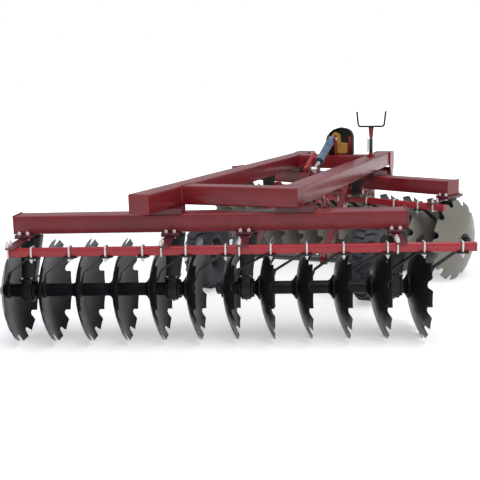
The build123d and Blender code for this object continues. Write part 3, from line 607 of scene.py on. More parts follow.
    def bent_rod(self, points: list[Vector], radius: float, bend: float, sides: int = 10,
                 steps: int = 5) -> None:
        """Adds a round bar that runs through points and is bent at each inner one.

        Args:
            points: Ends and corners of its middle line.
            radius: Radius of the bar.
            bend: Radius of the middle line in each bend.
            sides: Sides of its outline.
            steps: Steps round each bend.
        """
        points = [Vector(p) for p in points]
        before = set(self.bm.verts)
        first = (points[1] - points[0]).normalized()
        start = Matrix.Translation(points[0]) @ self.turn_to(first)
        bmesh.ops.create_circle(self.bm, cap_ends=True, segments=sides, radius=radius, matrix=start)
        ring = self._since(before)
        ahead, here = first, points[0]
        for corner, after in zip(points[1:], points[2:] + [None]):
            if after is None:
                ring = self._push(ring, corner - here)
                break
            onward = (after - corner).normalized()
            turn = ahead.angle(onward)
            cut = bend * tan(turn / 2)
            ring = self._push(ring, corner - ahead * cut - here)
            axis = ahead.cross(onward).normalized()
            centre = corner - ahead * cut + axis.cross(ahead) * bend
            faces = self._face_of(ring)
            spun = bmesh.ops.spin(self.bm, geom=faces, cent=centre, axis=axis, dvec=Vector(), angle=turn,
                                  steps=steps, use_merge=False, use_normal_flip=False, use_duplicate=False)
            ring = [g for g in spun["geom_last"] if isinstance(g, bmesh.types.BMVert)]
            ahead, here = onward, corner + onward * cut

    def _face_of(self, ring: list[bmesh.types.BMVert]) -> list[bmesh.types.BMFace]:
        """The one face that has exactly these corners, with none of its neighbours."""
        members = set(ring)
        return [f for f in ring[0].link_faces if set(f.verts) == members]

    def _push(self, ring: list[bmesh.types.BMVert], step: Vector) -> list[bmesh.types.BMVert]:
        """Extrudes the end face of a bar by a step and returns its new ring."""
        if step.length < 1e-7:
            return ring
        new = self._extrude(self._face_of(ring), step)
        bmesh.ops.delete(self.bm, geom=self._face_of(ring), context="FACES_ONLY")
        return new

    def nut(self, seat: Vector, direction: Vector, size: Nut) -> None:
        """Adds a hexagon nut on its seat, on a washer if it has one.

        Args:
            seat: Middle of the face that it presses on.
            direction: Way that it stands out.
            size: Its sizes.
        """
        seat, way = Vector(seat), Vector(direction).normalized()
        if size.washer > 0.0:
            self.rod(seat, seat + way * WASHER_THICK, size.washer, sides=16)
            seat = seat + way * WASHER_THICK
        self.rod(seat, seat + way * size.height, size.across / sqrt(3), sides=6, chamfer=size.height * 0.12)

    def finished(self, finish: Finish, body: Body | str, slot: Slot, *nodes: str,
                 smooth: float = 35.0) -> bpy.types.Object:
        """Turns the piece into an object that rides on its body.

        Args:
            finish: Surface that it gets.
            body: CAD body that it moves with.
            slot: Slot of the record that its finish belongs to. Not used.
            nodes: CAD nodes that it stands for.
            smooth: Angle in degrees below which edges are shaded smooth.

        Returns:
            The finished object.
        """
        bmesh.ops.transform(self.bm, matrix=self.place, verts=self.bm.verts)
        bmesh.ops.recalc_face_normals(self.bm, faces=self.bm.faces)
        mesh = mesh_from(self.bm, self.name)
        mesh.polygons.foreach_set("use_smooth", [True] * len(mesh.polygons))
        mesh.set_sharp_from_angle(angle=radians(smooth))
        mesh.materials.append(finish.material())
        made = add_object(self.name, mesh)
        carrier = body.value if isinstance(body, Body) else body
        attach(made, carrier)
        if nodes:
            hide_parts(*nodes)
        log.info("%s: %d faces, on %s", self.name, len(mesh.polygons), carrier)
        return made


@dataclass(frozen=True)
class Row:
    """One row of discs. Its own axes are u along the axle towards the hollow faces, n forward and z up."""

    name: str
    halves: tuple[str, str]
    middle: tuple[float, float]
    heading: float
    hand: int
    beam_ahead: float
    first_rim: float
    bar_before_rim: float
    blades: Finish
    clamp_shifts: tuple[float, ...]
    beam_length: float = 2.426
    disc_pitch: float = 0.228
    discs_in_half: int = 6
    bearing_after_rim: float = 0.052
    axle_height: float = 0.31875
    dish: float = 0.090
    disc_thick: float = 0.006

    def matrix(self) -> Matrix:
        """Turn and place of the row's axes."""
        turn = radians(self.heading)
        return Matrix((
            (cos(turn), -sin(turn) * self.hand, 0.0, self.middle[0]),
            (sin(turn), cos(turn) * self.hand, 0.0, self.middle[1]),
            (0.0, 0.0, 1.0, 0.0),
            (0.0, 0.0, 0.0, 1.0),
        ))

    def rim(self, index: int) -> float:
        """u of a disc's rim."""
        return -self.beam_length / 2 + self.first_rim + self.disc_pitch * index

    def hub(self, index: int) -> float:
        """u of the back of a disc's flat middle."""
        return self.rim(index) - self.dish

    def half_indices(self, half: int) -> list[int]:
        """Numbers of the discs in one half of the row."""
        return list(range(half * self.discs_in_half, (half + 1) * self.discs_in_half))

    def gang_body(self, half: int) -> str:
        """Name of the CAD body that carries one half of the row."""
        return f"{self.name}_{self.halves[half]}_gang"

    def bearings(self) -> list[float]:
        """u of each bearing."""
        return [self.rim(i) + self.bearing_after_rim for i in (0, 4, 6, 10)]


ROWS = (
    Row("rear", ("left", "right"), (-0.0856, -1.6217), 18.9, 1, 0.053, 0.015, -0.029, DISC_BLACK,
        (-0.013, -0.015, -0.027, -0.036, -0.009, -0.005, 0.030, 0.011, -0.005, 0.019, -0.001, -0.012)),
    Row("front", ("right", "left"), (0.0314, 0.8403), 156.6, -1, 0.0, -0.018, 0.060, DISC_BLACK_PAINTED_LIT_BACK,
        (-0.020, -0.027, 0.013) + 9 * (0.0,)),
)


@dataclass
class DiscGang:
    """The notched dished discs of half a row, which turn with their axle."""

    row: Row
    half: int
    radius: float = 0.330
    notches: int = 12
    notch_round: float = 0.024
    notch_centre: float = 0.304
    mouth_half: float = 0.037
    inner: float = 0.0204
    hub_flat: float = 0.075
    sharp_edge: float = 0.6

    def edge_points(self) -> list[Vector]:
        """Points of one tooth's edge, from a notch's floor to the next notch's floor.

        Returns:
            Points in the disc's plane, with the first notch along x.
        """
        step = 2 * pi / self.notches
        flat = self.radius * cos(step / 2)
        half = [Vector(p) for p in arc((self.notch_centre, 0.0), self.notch_round, 180, 96, 5)]
        mouth = Vector(((flat - self.mouth_half * sin(step / 2)) / cos(step / 2), self.mouth_half))
        middle = Vector((cos(step / 2), sin(step / 2))) * flat
        half += [mouth.lerp(middle, share) for share in (0.0, 0.08, 0.5)]
        across = Vector((-sin(step / 2), cos(step / 2)))
        mirrored = [p - across * (2 * p.dot(across)) for p in reversed(half)]
        return half + [middle] + mirrored

    def rise(self, radius: float) -> float:
        """Height of the dish's back over its middle at a distance from the axle."""
        reach = self.radius ** 2 - self.hub_flat ** 2
        sphere = (reach + self.row.dish ** 2) / (2 * self.row.dish)
        low = max(radius ** 2 - self.hub_flat ** 2, 0.0)
        return sphere - sqrt(sphere ** 2 - low)

    def tooth(self, bm: bmesh.types.BMesh) -> None:
        """Adds one twelfth of a disc, a grid bent to the tooth between two notches."""
        edge = self.edge_points()
        rows = (0.0, 0.10, 0.19, 0.32, 0.48, 0.66, 0.83, 0.94, 1.0)
        backs = bm.faces.layers.float.get(self.row.blades.back_layer)
        loops = []
        for face, lift in ((0, 0.0), (1, self.row.disc_thick)):
            grid = bmesh.ops.create_grid(bm, x_segments=len(edge) - 1, y_segments=len(rows) - 1, size=1.0)
            for vert in grid["verts"]:
                column = round((vert.co.x + 1) / 2 * (len(edge) - 1))
                line = round((vert.co.y + 1) / 2 * (len(rows) - 1))
                reach = edge[column].length
                radius = self.inner + (reach - self.inner) * rows[line]
                flat = edge[column] * (radius / reach)
                thin = self.row.disc_thick * self.sharp_edge * (1 - face) * (rows[line] == 1.0)
                vert.co = Vector((flat.x, flat.y, self.rise(radius) + lift + thin))
            faces = {f for v in grid["verts"] for f in v.link_faces}
            for made in faces:
                made[backs] = 1.0 - face
            if face == 0:
                bmesh.ops.reverse_faces(bm, faces=list(faces))
            loops += self._line_edges(grid["verts"][-len(edge):])
        bmesh.ops.bridge_loops(bm, edges=loops)

    @staticmethod
    def _line_edges(line: list[bmesh.types.BMVert]) -> list[bmesh.types.BMEdge]:
        """Edges that join the vertices of one line."""
        members = set(line)
        return list({e for v in line for e in v.link_edges if e.other_vert(v) in members})

    def pattern(self) -> bpy.types.Mesh:
        """Builds one disc about the u axis, with its flat back at the origin."""
        bm = bmesh.new()
        bm.faces.layers.float.new(self.row.blades.back_layer)
        self.tooth(bm)
        step = 2 * pi / self.notches
        sector = list(bm.verts) + list(bm.edges) + list(bm.faces)
        bmesh.ops.spin(bm, geom=sector, cent=Vector(), axis=Vector((0, 0, 1)), dvec=Vector(),
                       angle=2 * pi - step, steps=self.notches - 1, use_merge=False, use_normal_flip=False,
                       use_duplicate=True)
        bmesh.ops.remove_doubles(bm, verts=bm.verts, dist=1e-5)
        bore = [e for e in bm.edges if e.is_boundary]
        bmesh.ops.bridge_loops(bm, edges=bore)
        bmesh.ops.recalc_face_normals(bm, faces=bm.faces)
        quarter = Matrix.Rotation(pi / 2, 4, "Y")
        turn = Matrix.Rotation(pi / 2 + pi / self.notches, 4, "Z")
        bmesh.ops.transform(bm, matrix=quarter @ turn, verts=bm.verts)
        return mesh_from(bm, "disc_pattern")

    def build(self) -> bpy.types.Object:
        """Builds the discs of this half row.

        Returns:
            The object of all its discs.
        """
        source = self.pattern()
        side = self.row.halves[self.half]
        piece = Workpiece(f"{self.row.name}_{side}_notched_discs", self.row.matrix())
        for index in self.row.half_indices(self.half):
            piece.copy_of(source, Matrix.Translation((self.row.hub(index), 0, self.row.axle_height)))
        bpy.data.meshes.remove(source)
        node = f"{self.row.name}_{side}_discs"
        return piece.finished(self.row.blades, self.row.gang_body(self.half), Slot.DISC, node, smooth=30.0)


@dataclass
class GangAxle:
    """Turned spools with a bell flange behind each disc, and the washers and nuts of half a row."""

    row: Row
    half: int
    spool: float = 0.041
    flange: float = 0.075
    flange_long: float = 0.035
    washer: float = 0.060
    washer_thick: float = 0.012
    nut_across: float = 0.0675
    nut_long: float = 0.036
    stub: float = 0.019

    def spool_profile(self, long: float) -> list[tuple[float, float]]:
        """Half section of a spool, from a disc's hollow face to the next disc's back."""
        bell = [(long - self.flange_long, self.spool), (long - 0.028, 0.0445), (long - 0.020, 0.052),
                (long - 0.013, 0.063), (long - 0.009, self.flange - 0.003), (long - 0.006, self.flange),
                (long, self.flange), (long, 0.0)]
        collar = [(0.0, 0.0), (0.0, 0.050), (0.008, 0.050), (0.013, 0.046), (0.018, self.spool)]
        return collar + bell

    def build(self) -> bpy.types.Object:
        """Builds the half row's axle.

        Returns:
            The axle's object.
        """
        side = self.row.halves[self.half]
        piece = Workpiece(f"{self.row.name}_{side}_spools", self.row.matrix())
        row, z = self.row, self.row.axle_height
        hubs = [row.hub(index) for index in row.half_indices(self.half)]
        for hub in hubs[:-1]:
            start = Vector((hub + row.disc_thick, 0.0, z))
            piece.turned(start, (1, 0, 0), self.spool_profile(row.disc_pitch - row.disc_thick), steps=32)
        for seat, way in ((hubs[0], -1), (hubs[-1] + row.disc_thick, 1)):
            face = Vector((seat, 0.0, z))
            out = Vector((way, 0.0, 0.0))
            rim = [(0.0, 0.0), (0.0, self.washer), (self.washer_thick - 0.003, self.washer),
                   (self.washer_thick, self.washer - 0.003), (self.washer_thick, 0.0)]
            piece.turned(face, out, rim, steps=32)
            outer = face + out * self.washer_thick
            piece.nut(outer, out, Nut(self.nut_across, self.nut_long - 0.006))
            piece.rod(outer, outer + out * self.nut_long, self.stub, sides=16, chamfer=0.002)
        return piece.finished(SPOOL_BLACK, row.gang_body(self.half), Slot.AXLE, f"{row.name}_{side}_axle")


@dataclass
class BearingSet:
    """Bearing housings round the spools, with bolted covers at both sides."""

    row: Row
    bore: float = 0.0415
    body: float = 0.072
    cover: float = 0.060
    half_long: float = 0.045
    pad_half: float = 0.050

    def profile(self) -> list[tuple[float, float]]:
        """Half section of a housing with its two covers."""
        half = [(0.026, self.body), (0.029, self.body - 0.003), (0.031, self.cover + 0.003),
                (0.033, self.cover), (self.half_long - 0.003, self.cover),
                (self.half_long, self.cover - 0.003), (self.half_long, self.bore)]
        return [(-along, radius) for along, radius in reversed(half)] + half

    def build(self) -> bpy.types.Object:
        """Builds the row's bearings.

        Returns:
            The bearings' object.
        """
        piece = Workpiece(f"{self.row.name}_bearing_housings", self.row.matrix())
        z = self.row.axle_height
        for u in self.row.bearings():
            piece.turned((u, 0, z), (1, 0, 0), self.profile(), steps=32, closed=True)
            lift = (self.body + self.bore + 0.004) / 2
            size = (2 * self.half_long - 0.030, 2 * self.pad_half, self.body - self.bore - 0.004)
            piece.block((u, 0, z + lift), size, corner=0.005)
            for side in (-1, 1):
                for turn in range(6):
                    angle = radians(60 * turn + 30)
                    reach = self.cover - 0.009
                    seat = (u + side * self.half_long, reach * cos(angle), z + reach * sin(angle))
                    piece.nut(seat, (side, 0, 0), COVER_NUT)
            piece.rod((u, 0, z - self.body + 0.004), (u, 0, z - self.body - 0.008), 0.006, sides=10)
        return piece.finished(HANGER_BLACK, Body.FRAME, Slot.HANGER, f"{self.row.name}_bearings")


@dataclass
class HangerSet:
    """Hangers of a row: a red plate clamped under the beam and a black upright down to each bearing."""

    row: Row
    beam_half: float = 0.083
    lip: float = 0.032
    plate_long: float = 0.110
    plate_top: float = 0.682
    plate_bottom: float = 0.658
    top_reach: tuple[float, float] = (-0.035, 0.078)
    foot_reach: tuple[float, float] = (-0.035, 0.042)
    top_half: float = 0.060
    foot_half: float = 0.062
    bearing_top: float = 0.39075
    foot_thick: float = 0.012
    bearing_long: float = 0.090
    pad_half: float = 0.050
    bolt_spread: float = 0.0255

    def build(self) -> list[bpy.types.Object]:
        """Builds the plates, the uprights and their bolts.

        Returns:
            The three objects.
        """
        row = self.row
        plates = Workpiece(f"{row.name}_hanger_plates", row.matrix())
        uprights = Workpiece(f"{row.name}_hanger_uprights", row.matrix())
        bolts = Workpiece(f"{row.name}_hanger_bolts", row.matrix())
        wide = 2 * (self.beam_half + self.lip)
        node = f"{row.name}_hangers"
        for u in row.bearings():
            middle = (u, row.beam_ahead, (self.plate_top + self.plate_bottom) / 2)
            plates.block(middle, (self.plate_long, wide, self.plate_top - self.plate_bottom), corner=0.004)
            low = (u + self.foot_reach[0], u + self.foot_reach[1], -self.pad_half, self.pad_half,
                   self.bearing_top + self.foot_thick / 2)
            high = (u + self.top_reach[0], u + self.top_reach[1], row.beam_ahead - self.top_half,
                    row.beam_ahead + self.top_half, self.plate_bottom)
            uprights.tapered_block(low, high, corner=0.006)
            foot = (u, 0, self.bearing_top + self.foot_thick / 2)
            uprights.block(foot, (self.bearing_long, 2 * self.foot_half, self.foot_thick), corner=0.003)
            self.fasten(bolts, u)
        return [plates.finished(DARK_RED, Body.FRAME, Slot.HANGER, node),
                uprights.finished(HANGER_BLACK, Body.FRAME, Slot.HANGER, node),
                bolts.finished(ZINC, Body.FRAME, Slot.PIN)]

    def fasten(self, bolts: Workpiece, u: float) -> None:
        """Adds the bolts of one hanger.

        Args:
            bolts: Piece that they join.
            u: Place of the hanger along its row.
        """
        for side in (-1, 1):
            n = self.row.beam_ahead + side * (self.beam_half + self.lip / 2)
            for offset in (-self.bolt_spread, self.bolt_spread):
                place = u + offset
                bolts.nut((place, n, self.plate_top), (0, 0, 1), HANGER_NUT)
                bolts.rod((place, n, self.plate_bottom - 0.002), (place, n, self.plate_top + 0.021), 0.006,
                          sides=12)
                bolts.nut((place, n, self.plate_bottom), (0, 0, -1), HANGER_HEAD)
            for offset in (-0.030, 0.030):
                seat = (u + offset, side * (self.foot_half - 0.009), self.bearing_top + self.foot_thick)
                bolts.nut(seat, (0, 0, 1), FOOT_NUT)


@dataclass
class ScraperBar:
    """A scraper bar with its brackets, the clamped scrapers and the U-bolts that hold them."""

    row: Row
    behind: float = 0.252
    half: float = 0.025
    top: float = 0.638
    past_last_rim: float = 0.252
    wall_corner: float = 0.006
    bolt_radius: float = 0.0062
    bolt_bend: float = 0.011
    scraper_after_rim: float = 0.1825
    clamp_bottom: float = 0.580
    bracket_top: float = 0.648
    strap_offset: float = -0.022

    def build(self) -> list[bpy.types.Object]:
        """Builds the bar and all U-bolts of the bar with their nuts.

        Returns:
            The bar and the fasteners.
        """
        row = self.row
        start = row.rim(0) - row.bar_before_rim
        end = row.rim(2 * row.discs_in_half - 1) + self.past_last_rim
        bar = Workpiece(f"{row.name}_rounded_scraper_bar", row.matrix())
        centre = ((start + end) / 2, -self.behind, self.top - self.half)
        bar.block(centre, (end - start, 2 * self.half, 2 * self.half), corner=self.wall_corner, steps=3,
                  along=0)
        bolts = Workpiece(f"{row.name}_bar_u_bolts", row.matrix())
        reach = self.half + self.bolt_radius
        near, far = -self.behind - reach, -self.behind + reach
        for index, shift in enumerate(row.clamp_shifts):
            u = row.rim(index) + self.scraper_after_rim + shift
            low, high = self.clamp_bottom - 0.024, self.top + self.bolt_radius
            bolts.bent_rod([(u, near, low), (u, near, high), (u, far, high), (u, far, low)],
                           self.bolt_radius, self.bolt_bend)
            for n in (near, far):
                bolts.nut((u, n, self.clamp_bottom), (0, 0, -1), U_BOLT_NUT)
        for middle in row.bearings():
            u = middle + self.strap_offset
            low = self.top - 2 * self.half - self.bolt_radius
            high = self.bracket_top + 0.034
            bolts.bent_rod([(u, near, high), (u, near, low), (u, far, low), (u, far, high)],
                           self.bolt_radius, self.bolt_bend)
            for n in (near, far):
                bolts.nut((u, n, self.bracket_top), (0, 0, 1), U_BOLT_NUT)
                bolts.nut((u, n, self.bracket_top + U_BOLT_NUT.height + WASHER_THICK), (0, 0, 1), LOCK_NUT)
        return [bar.finished(BAR_RED, Body.FRAME, Slot.BAR, f"{row.name}_scraper_bar"),
                bolts.finished(ZINC, Body.FRAME, Slot.PIN)]


@dataclass
class FrameTubes:
    """The four rectangular tubes of the frame, with rounded corners and weld beads."""

    corner: float = 0.009
    bead: float = 0.005
    tubes: tuple[tuple[str, int], ...] = (
        ("frame_left_beam", 1), ("frame_right_beam", 1), ("frame_rear_cross", 0), ("frame_front_cross", 0),
    )

    def build(self) -> list[bpy.types.Object]:
        """Builds each tube in the place of its node.

        Returns:
            The tubes and the beads.
        """
        made = []
        for node, axis in self.tubes:
            low, high = node_box(node)
            piece = Workpiece(node.replace("frame_", "rounded_"))
            piece.block((low + high) / 2, high - low, corner=self.corner, steps=4, along=axis)
            made.append(piece.finished(FRAME_RED, Body.FRAME, Slot.FRAME, node))
        beads = Workpiece("frame_weld_beads")
        for node, sides in (("frame_rear_cross", (-1,)), ("frame_front_cross", (-1, 1))):
            low, high = node_box(node)
            for side in sides:
                x = low.x if side < 0 else high.x
                corners = [(x, low.y, low.z), (x, low.y, high.z), (x, high.y, high.z), (x, high.y, low.z)]
                for start, end in zip(corners, corners[1:] + corners[:1]):
                    beads.rod(start, end, self.bead, sides=8)
        made.append(beads.finished(FRAME_RED, Body.FRAME, Slot.FRAME, smooth=60.0))
        return made


@dataclass
class GangBeams:
    """A gang beam, a rounded tube with an end plate at each end."""

    row: Row
    wide: float = 0.166
    high: float = 0.112
    top: float = 0.794
    corner: float = 0.008
    cap_thick: float = 0.008
    cap_lip: float = 0.006

    def build(self) -> bpy.types.Object:
        """Builds the row's beam.

        Returns:
            The beam's object.
        """
        piece = Workpiece(f"{self.row.name}_rounded_gang_beam", self.row.matrix())
        length = self.row.beam_length
        middle = Vector((0.0, self.row.beam_ahead, self.top - self.high / 2))
        piece.block(middle, (length - 2 * self.cap_thick, self.wide, self.high), corner=self.corner, steps=4,
                    along=0)
        for side in (-1, 1):
            centre = middle + Vector((side * (length - self.cap_thick) / 2, 0, self.cap_lip / 2))
            size = (self.cap_thick, self.wide + self.cap_lip, self.high + self.cap_lip)
            piece.block(centre, size, corner=0.0015, steps=1)
        return piece.finished(FRAME_RED, Body.FRAME, Slot.FRAME, f"{self.row.name}_gang_beam")


@dataclass
class LiftLinkage:
    """Rock shaft with its lever and the wheel arms, and the mast that holds the cylinder's head."""

    shaft: float = 0.037
    shaft_half: float = 0.430
    eye_half: float = 0.027
    lever_thick: float = 0.012
    lever_ends: tuple[float, float] = (0.055, 0.042)
    arm_half_track: float = 0.300
    arm_thick: float = 0.050
    arm_ends: tuple[float, float] = (0.058, 0.044)
    mast_thick: float = 0.012
    mast_head: float = 0.038
    mast_foot: tuple[float, float] = (2.451, 2.517)
    pin: float = 0.0125
    post: tuple[float, float] = (0.128, 0.164)
    post_deep: float = 0.036
    post_high: float = 0.168
    guard_back: float = 0.005
    guard_thick: float = 0.008

    def build(self) -> list[bpy.types.Object]:
        """Builds the linkage.

        Returns:
            The shaft with its lever, the arms, the mast and its pin.
        """
        return [self.rock_shaft(), self.arms(), self.mast(), self.mast_pin()]

    def rock_shaft(self) -> bpy.types.Object:
        """Builds the rock shaft with the two plates of its lever and their collars."""
        piece = Workpiece("turned_rock_shaft")
        left, right = (PLAN.point(side * self.shaft_half, *PLAN.rock) for side in (-1, 1))
        piece.rod(left, right, self.shaft, sides=32, chamfer=0.002)
        outline = link_outline(PLAN.rock, self.lever_ends[0], PLAN.lever_tip(), self.lever_ends[1])
        for side in (-1, 1):
            plane = PLAN.side_view(side * (self.eye_half + self.lever_thick / 2))
            piece.plate(outline, plane, self.lever_thick)
            base = PLAN.point(side * (self.eye_half + self.lever_thick + 0.003), *PLAN.rock)
            piece.ring(base, (1, 0, 0), self.shaft - 0.001, self.shaft + 0.006, 0.006, bevel=0.005)
        return piece.finished(FRAME_RED, Body.WHEELS, Slot.FRAME, "rock_shaft")

    def arms(self) -> bpy.types.Object:
        """Builds the two wheel arms with their weld collars."""
        piece = Workpiece("rounded_wheel_arms")
        outline = link_outline(PLAN.rock, self.arm_ends[0], PLAN.wheel, self.arm_ends[1])
        for side in (-1, 1):
            x = side * self.arm_half_track
            piece.plate(outline, PLAN.side_view(x), self.arm_thick, edge=0.006)
            for face in (-1, 1):
                collar = PLAN.point(x + face * (self.arm_thick / 2 + 0.002), *PLAN.rock)
                piece.ring(collar, (1, 0, 0), self.shaft - 0.001, self.shaft + 0.006, 0.006, bevel=0.005)
        return piece.finished(FRAME_RED, Body.WHEELS, Slot.FRAME, "wheel_arms")

    def mast(self) -> bpy.types.Object:
        """Builds the mast's two plates and the post beside them."""
        piece = Workpiece("rounded_mast")
        foot = [(start, PLAN.frame_top) for start in self.mast_foot]
        head = arc(PLAN.mast_pin, self.mast_head, -15, 205, 16)
        for side in (-1, 1):
            plane = PLAN.side_view(side * (self.eye_half + self.mast_thick / 2))
            piece.plate(foot + head, plane, self.mast_thick)
        ahead = PLAN.front_cross + PLAN.cross_deep - self.guard_back - self.post_deep / 2
        level = PLAN.frame_top + (self.guard_thick + self.post_high) / 2
        middle = PLAN.point(sum(self.post) / 2, ahead, level)
        size = (self.post[1] - self.post[0], self.post_deep, self.post_high - self.guard_thick)
        piece.block(middle, size, corner=0.003)
        return piece.finished(FRAME_RED, Body.FRAME, Slot.FRAME, "mast")

    def mast_pin(self) -> bpy.types.Object:
        """Builds the pin at the mast's head with its washers and split pins."""
        piece = Workpiece("mast_pin")
        reach = self.eye_half + self.mast_thick
        left, right = (PLAN.point(side * (reach + 0.012), *PLAN.mast_pin) for side in (-1, 1))
        piece.rod(left, right, self.pin, sides=24, chamfer=0.0015)
        for side in (-1, 1):
            washer = PLAN.point(side * (reach + 0.002), *PLAN.mast_pin)
            piece.ring(washer, (1, 0, 0), self.pin, 0.022, 0.003, bevel=0.0006)
            split = PLAN.point(side * (reach + 0.0075), *PLAN.mast_pin)
            piece.rod(split - Vector((0, 0, 0.020)), split + Vector((0, 0, 0.018)), 0.002, sides=8)
        return piece.finished(ZINC, Body.FRAME, Slot.PIN)


@dataclass
class LiftCylinder:
    """Hydraulic cylinder with its chromed rod, and the strut clamped beside its barrel."""

    barrel: float = 0.038
    tube: float = 0.0355
    start: float = 0.062
    end: float = 0.430
    neck: float = 0.022
    eye: float = 0.030
    eye_wide: float = 0.050
    pin: float = 0.0125
    fit: float = 0.0003
    rod: float = 0.018
    rod_start: float = 0.150
    rod_eye: float = 0.028
    rod_pin_half: float = 0.041
    strut: float = 0.021
    strut_beside: float = 0.080
    strut_reach: tuple[float, float] = (0.290, 0.590)
    clamp_long: float = 0.050
    clamp_thick: float = 0.030

    def build(self) -> list[bpy.types.Object]:
        """Builds the cylinder.

        Returns:
            The barrel, its fittings, the rod and the strut.
        """
        place, length = PLAN.cylinder()
        return [self.barrel_body(place), self.fittings(place), self.chromed_rod(place, length),
                self.lock_strut(place)]

    def barrel_body(self, place: Matrix) -> bpy.types.Object:
        """Builds the barrel with its welded head, its gland and its eye."""
        piece = Workpiece("lift_barrel_tube", place)
        bore = self.rod + self.fit
        head = [(self.eye * 0.75, 0.0), (self.eye * 0.75, self.neck), (self.start - 0.008, self.neck),
                (self.start, 0.031), (self.start + 0.004, self.barrel), (self.start + 0.026, self.barrel),
                (self.start + 0.031, self.tube)]
        gland = [(self.end - 0.040, self.tube), (self.end - 0.038, self.barrel),
                 (self.end - 0.003, self.barrel), (self.end, self.barrel - 0.003), (self.end, bore),
                 (0.100, bore), (0.100, 0.0)]
        piece.turned((0, 0, 0), (0, 0, 1), head + gland, steps=36)
        piece.ring((0, 0, 0), (1, 0, 0), self.pin + self.fit, self.eye, self.eye_wide, steps=32)
        return piece.finished(BARREL_BLUE, Body.BARREL, Slot.BARREL, "cylinder_barrel")

    def fittings(self, place: Matrix) -> bpy.types.Object:
        """Builds the rod's black wiper and the two oil ports with their plugs."""
        piece = Workpiece("lift_barrel_fittings", place)
        piece.ring((0, 0, self.end + 0.007), (0, 0, 1), self.rod + 0.001, 0.028, 0.014, bevel=0.004)
        for along in (self.start + 0.018, self.end - 0.020):
            seat = Vector((0.0, -self.barrel + 0.003, along))
            piece.rod(seat, seat - Vector((0, 0.014, 0)), 0.013, sides=20, chamfer=0.0015)
            piece.nut(seat - Vector((0, 0.014, 0)), (0, -1, 0), PORT_PLUG)
        return piece.finished(SLEEVE_BLACK, Body.BARREL, Slot.BARREL)

    def chromed_rod(self, place: Matrix, length: float) -> bpy.types.Object:
        """Builds the rod with its eye and pin."""
        piece = Workpiece("lift_chromed_rod", place)
        piece.rod((0, 0, self.rod_start), (0, 0, length - self.rod_eye * 0.8), self.rod, sides=32,
                  chamfer=0.001)
        piece.ring((0, 0, length), (1, 0, 0), self.pin, self.rod_eye, self.eye_wide, steps=32)
        piece.rod((-self.rod_pin_half, 0, length), (self.rod_pin_half, 0, length), self.pin, sides=24,
                  chamfer=0.0015)
        return piece.finished(CHROME, Body.ROD, Slot.ROD, "cylinder_rod")

    def lock_strut(self, place: Matrix) -> bpy.types.Object:
        """Builds the strut beside the barrel and the clamp that carries it."""
        piece = Workpiece("rounded_lock_strut", place)
        x = -self.strut_beside
        low, high = self.strut_reach
        piece.rod((x, 0, low), (x, 0, high), self.strut - 0.0005, sides=28, chamfer=0.004)
        middle = (low + self.end) / 2
        reach = self.strut_beside - self.tube
        piece.block((x + reach / 2, 0, middle), (reach, self.clamp_thick, self.clamp_long), corner=0.003)
        return piece.finished(BAR_RED, Body.BARREL, Slot.FRAME, "lock_strut")


@dataclass
class MastGuard:
    """Black arched guard ahead of the mast's head, with the yellow box inside it."""

    outline: tuple[tuple[float, float], ...] = (
        (-0.065, 0.0), (-0.065, 0.157), (-0.042, 0.193), (-0.004, 0.225), (0.055, 0.244), (0.120, 0.232),
        (0.157, 0.208), (0.176, 0.161), (0.176, 0.0),
    )
    box: tuple[tuple[float, float], ...] = (
        (0.010, 0.0), (0.124, 0.0), (0.124, 0.090), (0.060, 0.098), (0.052, 0.176), (0.012, 0.196),
        (-0.024, 0.170), (-0.022, 0.132), (0.010, 0.098),
    )
    deep: float = 0.060
    wall: float = 0.008
    back: float = 0.005
    box_deep: float = 0.048

    def build(self) -> list[bpy.types.Object]:
        """Builds the guard and the box.

        Returns:
            The two objects.
        """
        plane = PLAN.rear_view(PLAN.front_cross + PLAN.cross_deep, PLAN.frame_top)
        guard = Workpiece("rounded_mast_guard", plane)
        guard.frame_strip(list(self.outline), self.wall, self.deep, corner=0.012)
        inside = [(x * 0.985 + 0.001, z * 0.985 + 0.002) for x, z in self.outline]
        guard.plate(inside, Matrix.Translation((0, 0, self.back / 2)), self.back, corner=0.012, edge=0.0)
        box = Workpiece("rounded_valve_box", plane)
        lift = Matrix.Translation((0, self.wall, self.back + self.box_deep / 2))
        box.plate(list(self.box), lift, self.box_deep, corner=0.005, edge=0.003)
        front = self.back + self.box_deep
        for x, z in ((0.024, 0.014), (0.110, 0.014), (0.024, 0.076), (0.110, 0.076)):
            box.nut((x, self.wall + z, front), (0, 0, 1), BOX_SCREW)
        return [guard.finished(GUARD_BLACK, Body.FRAME, Slot.GUARD, "mast_guard"),
                box.finished(BOX_YELLOW, Body.FRAME, Slot.BOX, "valve_box")]


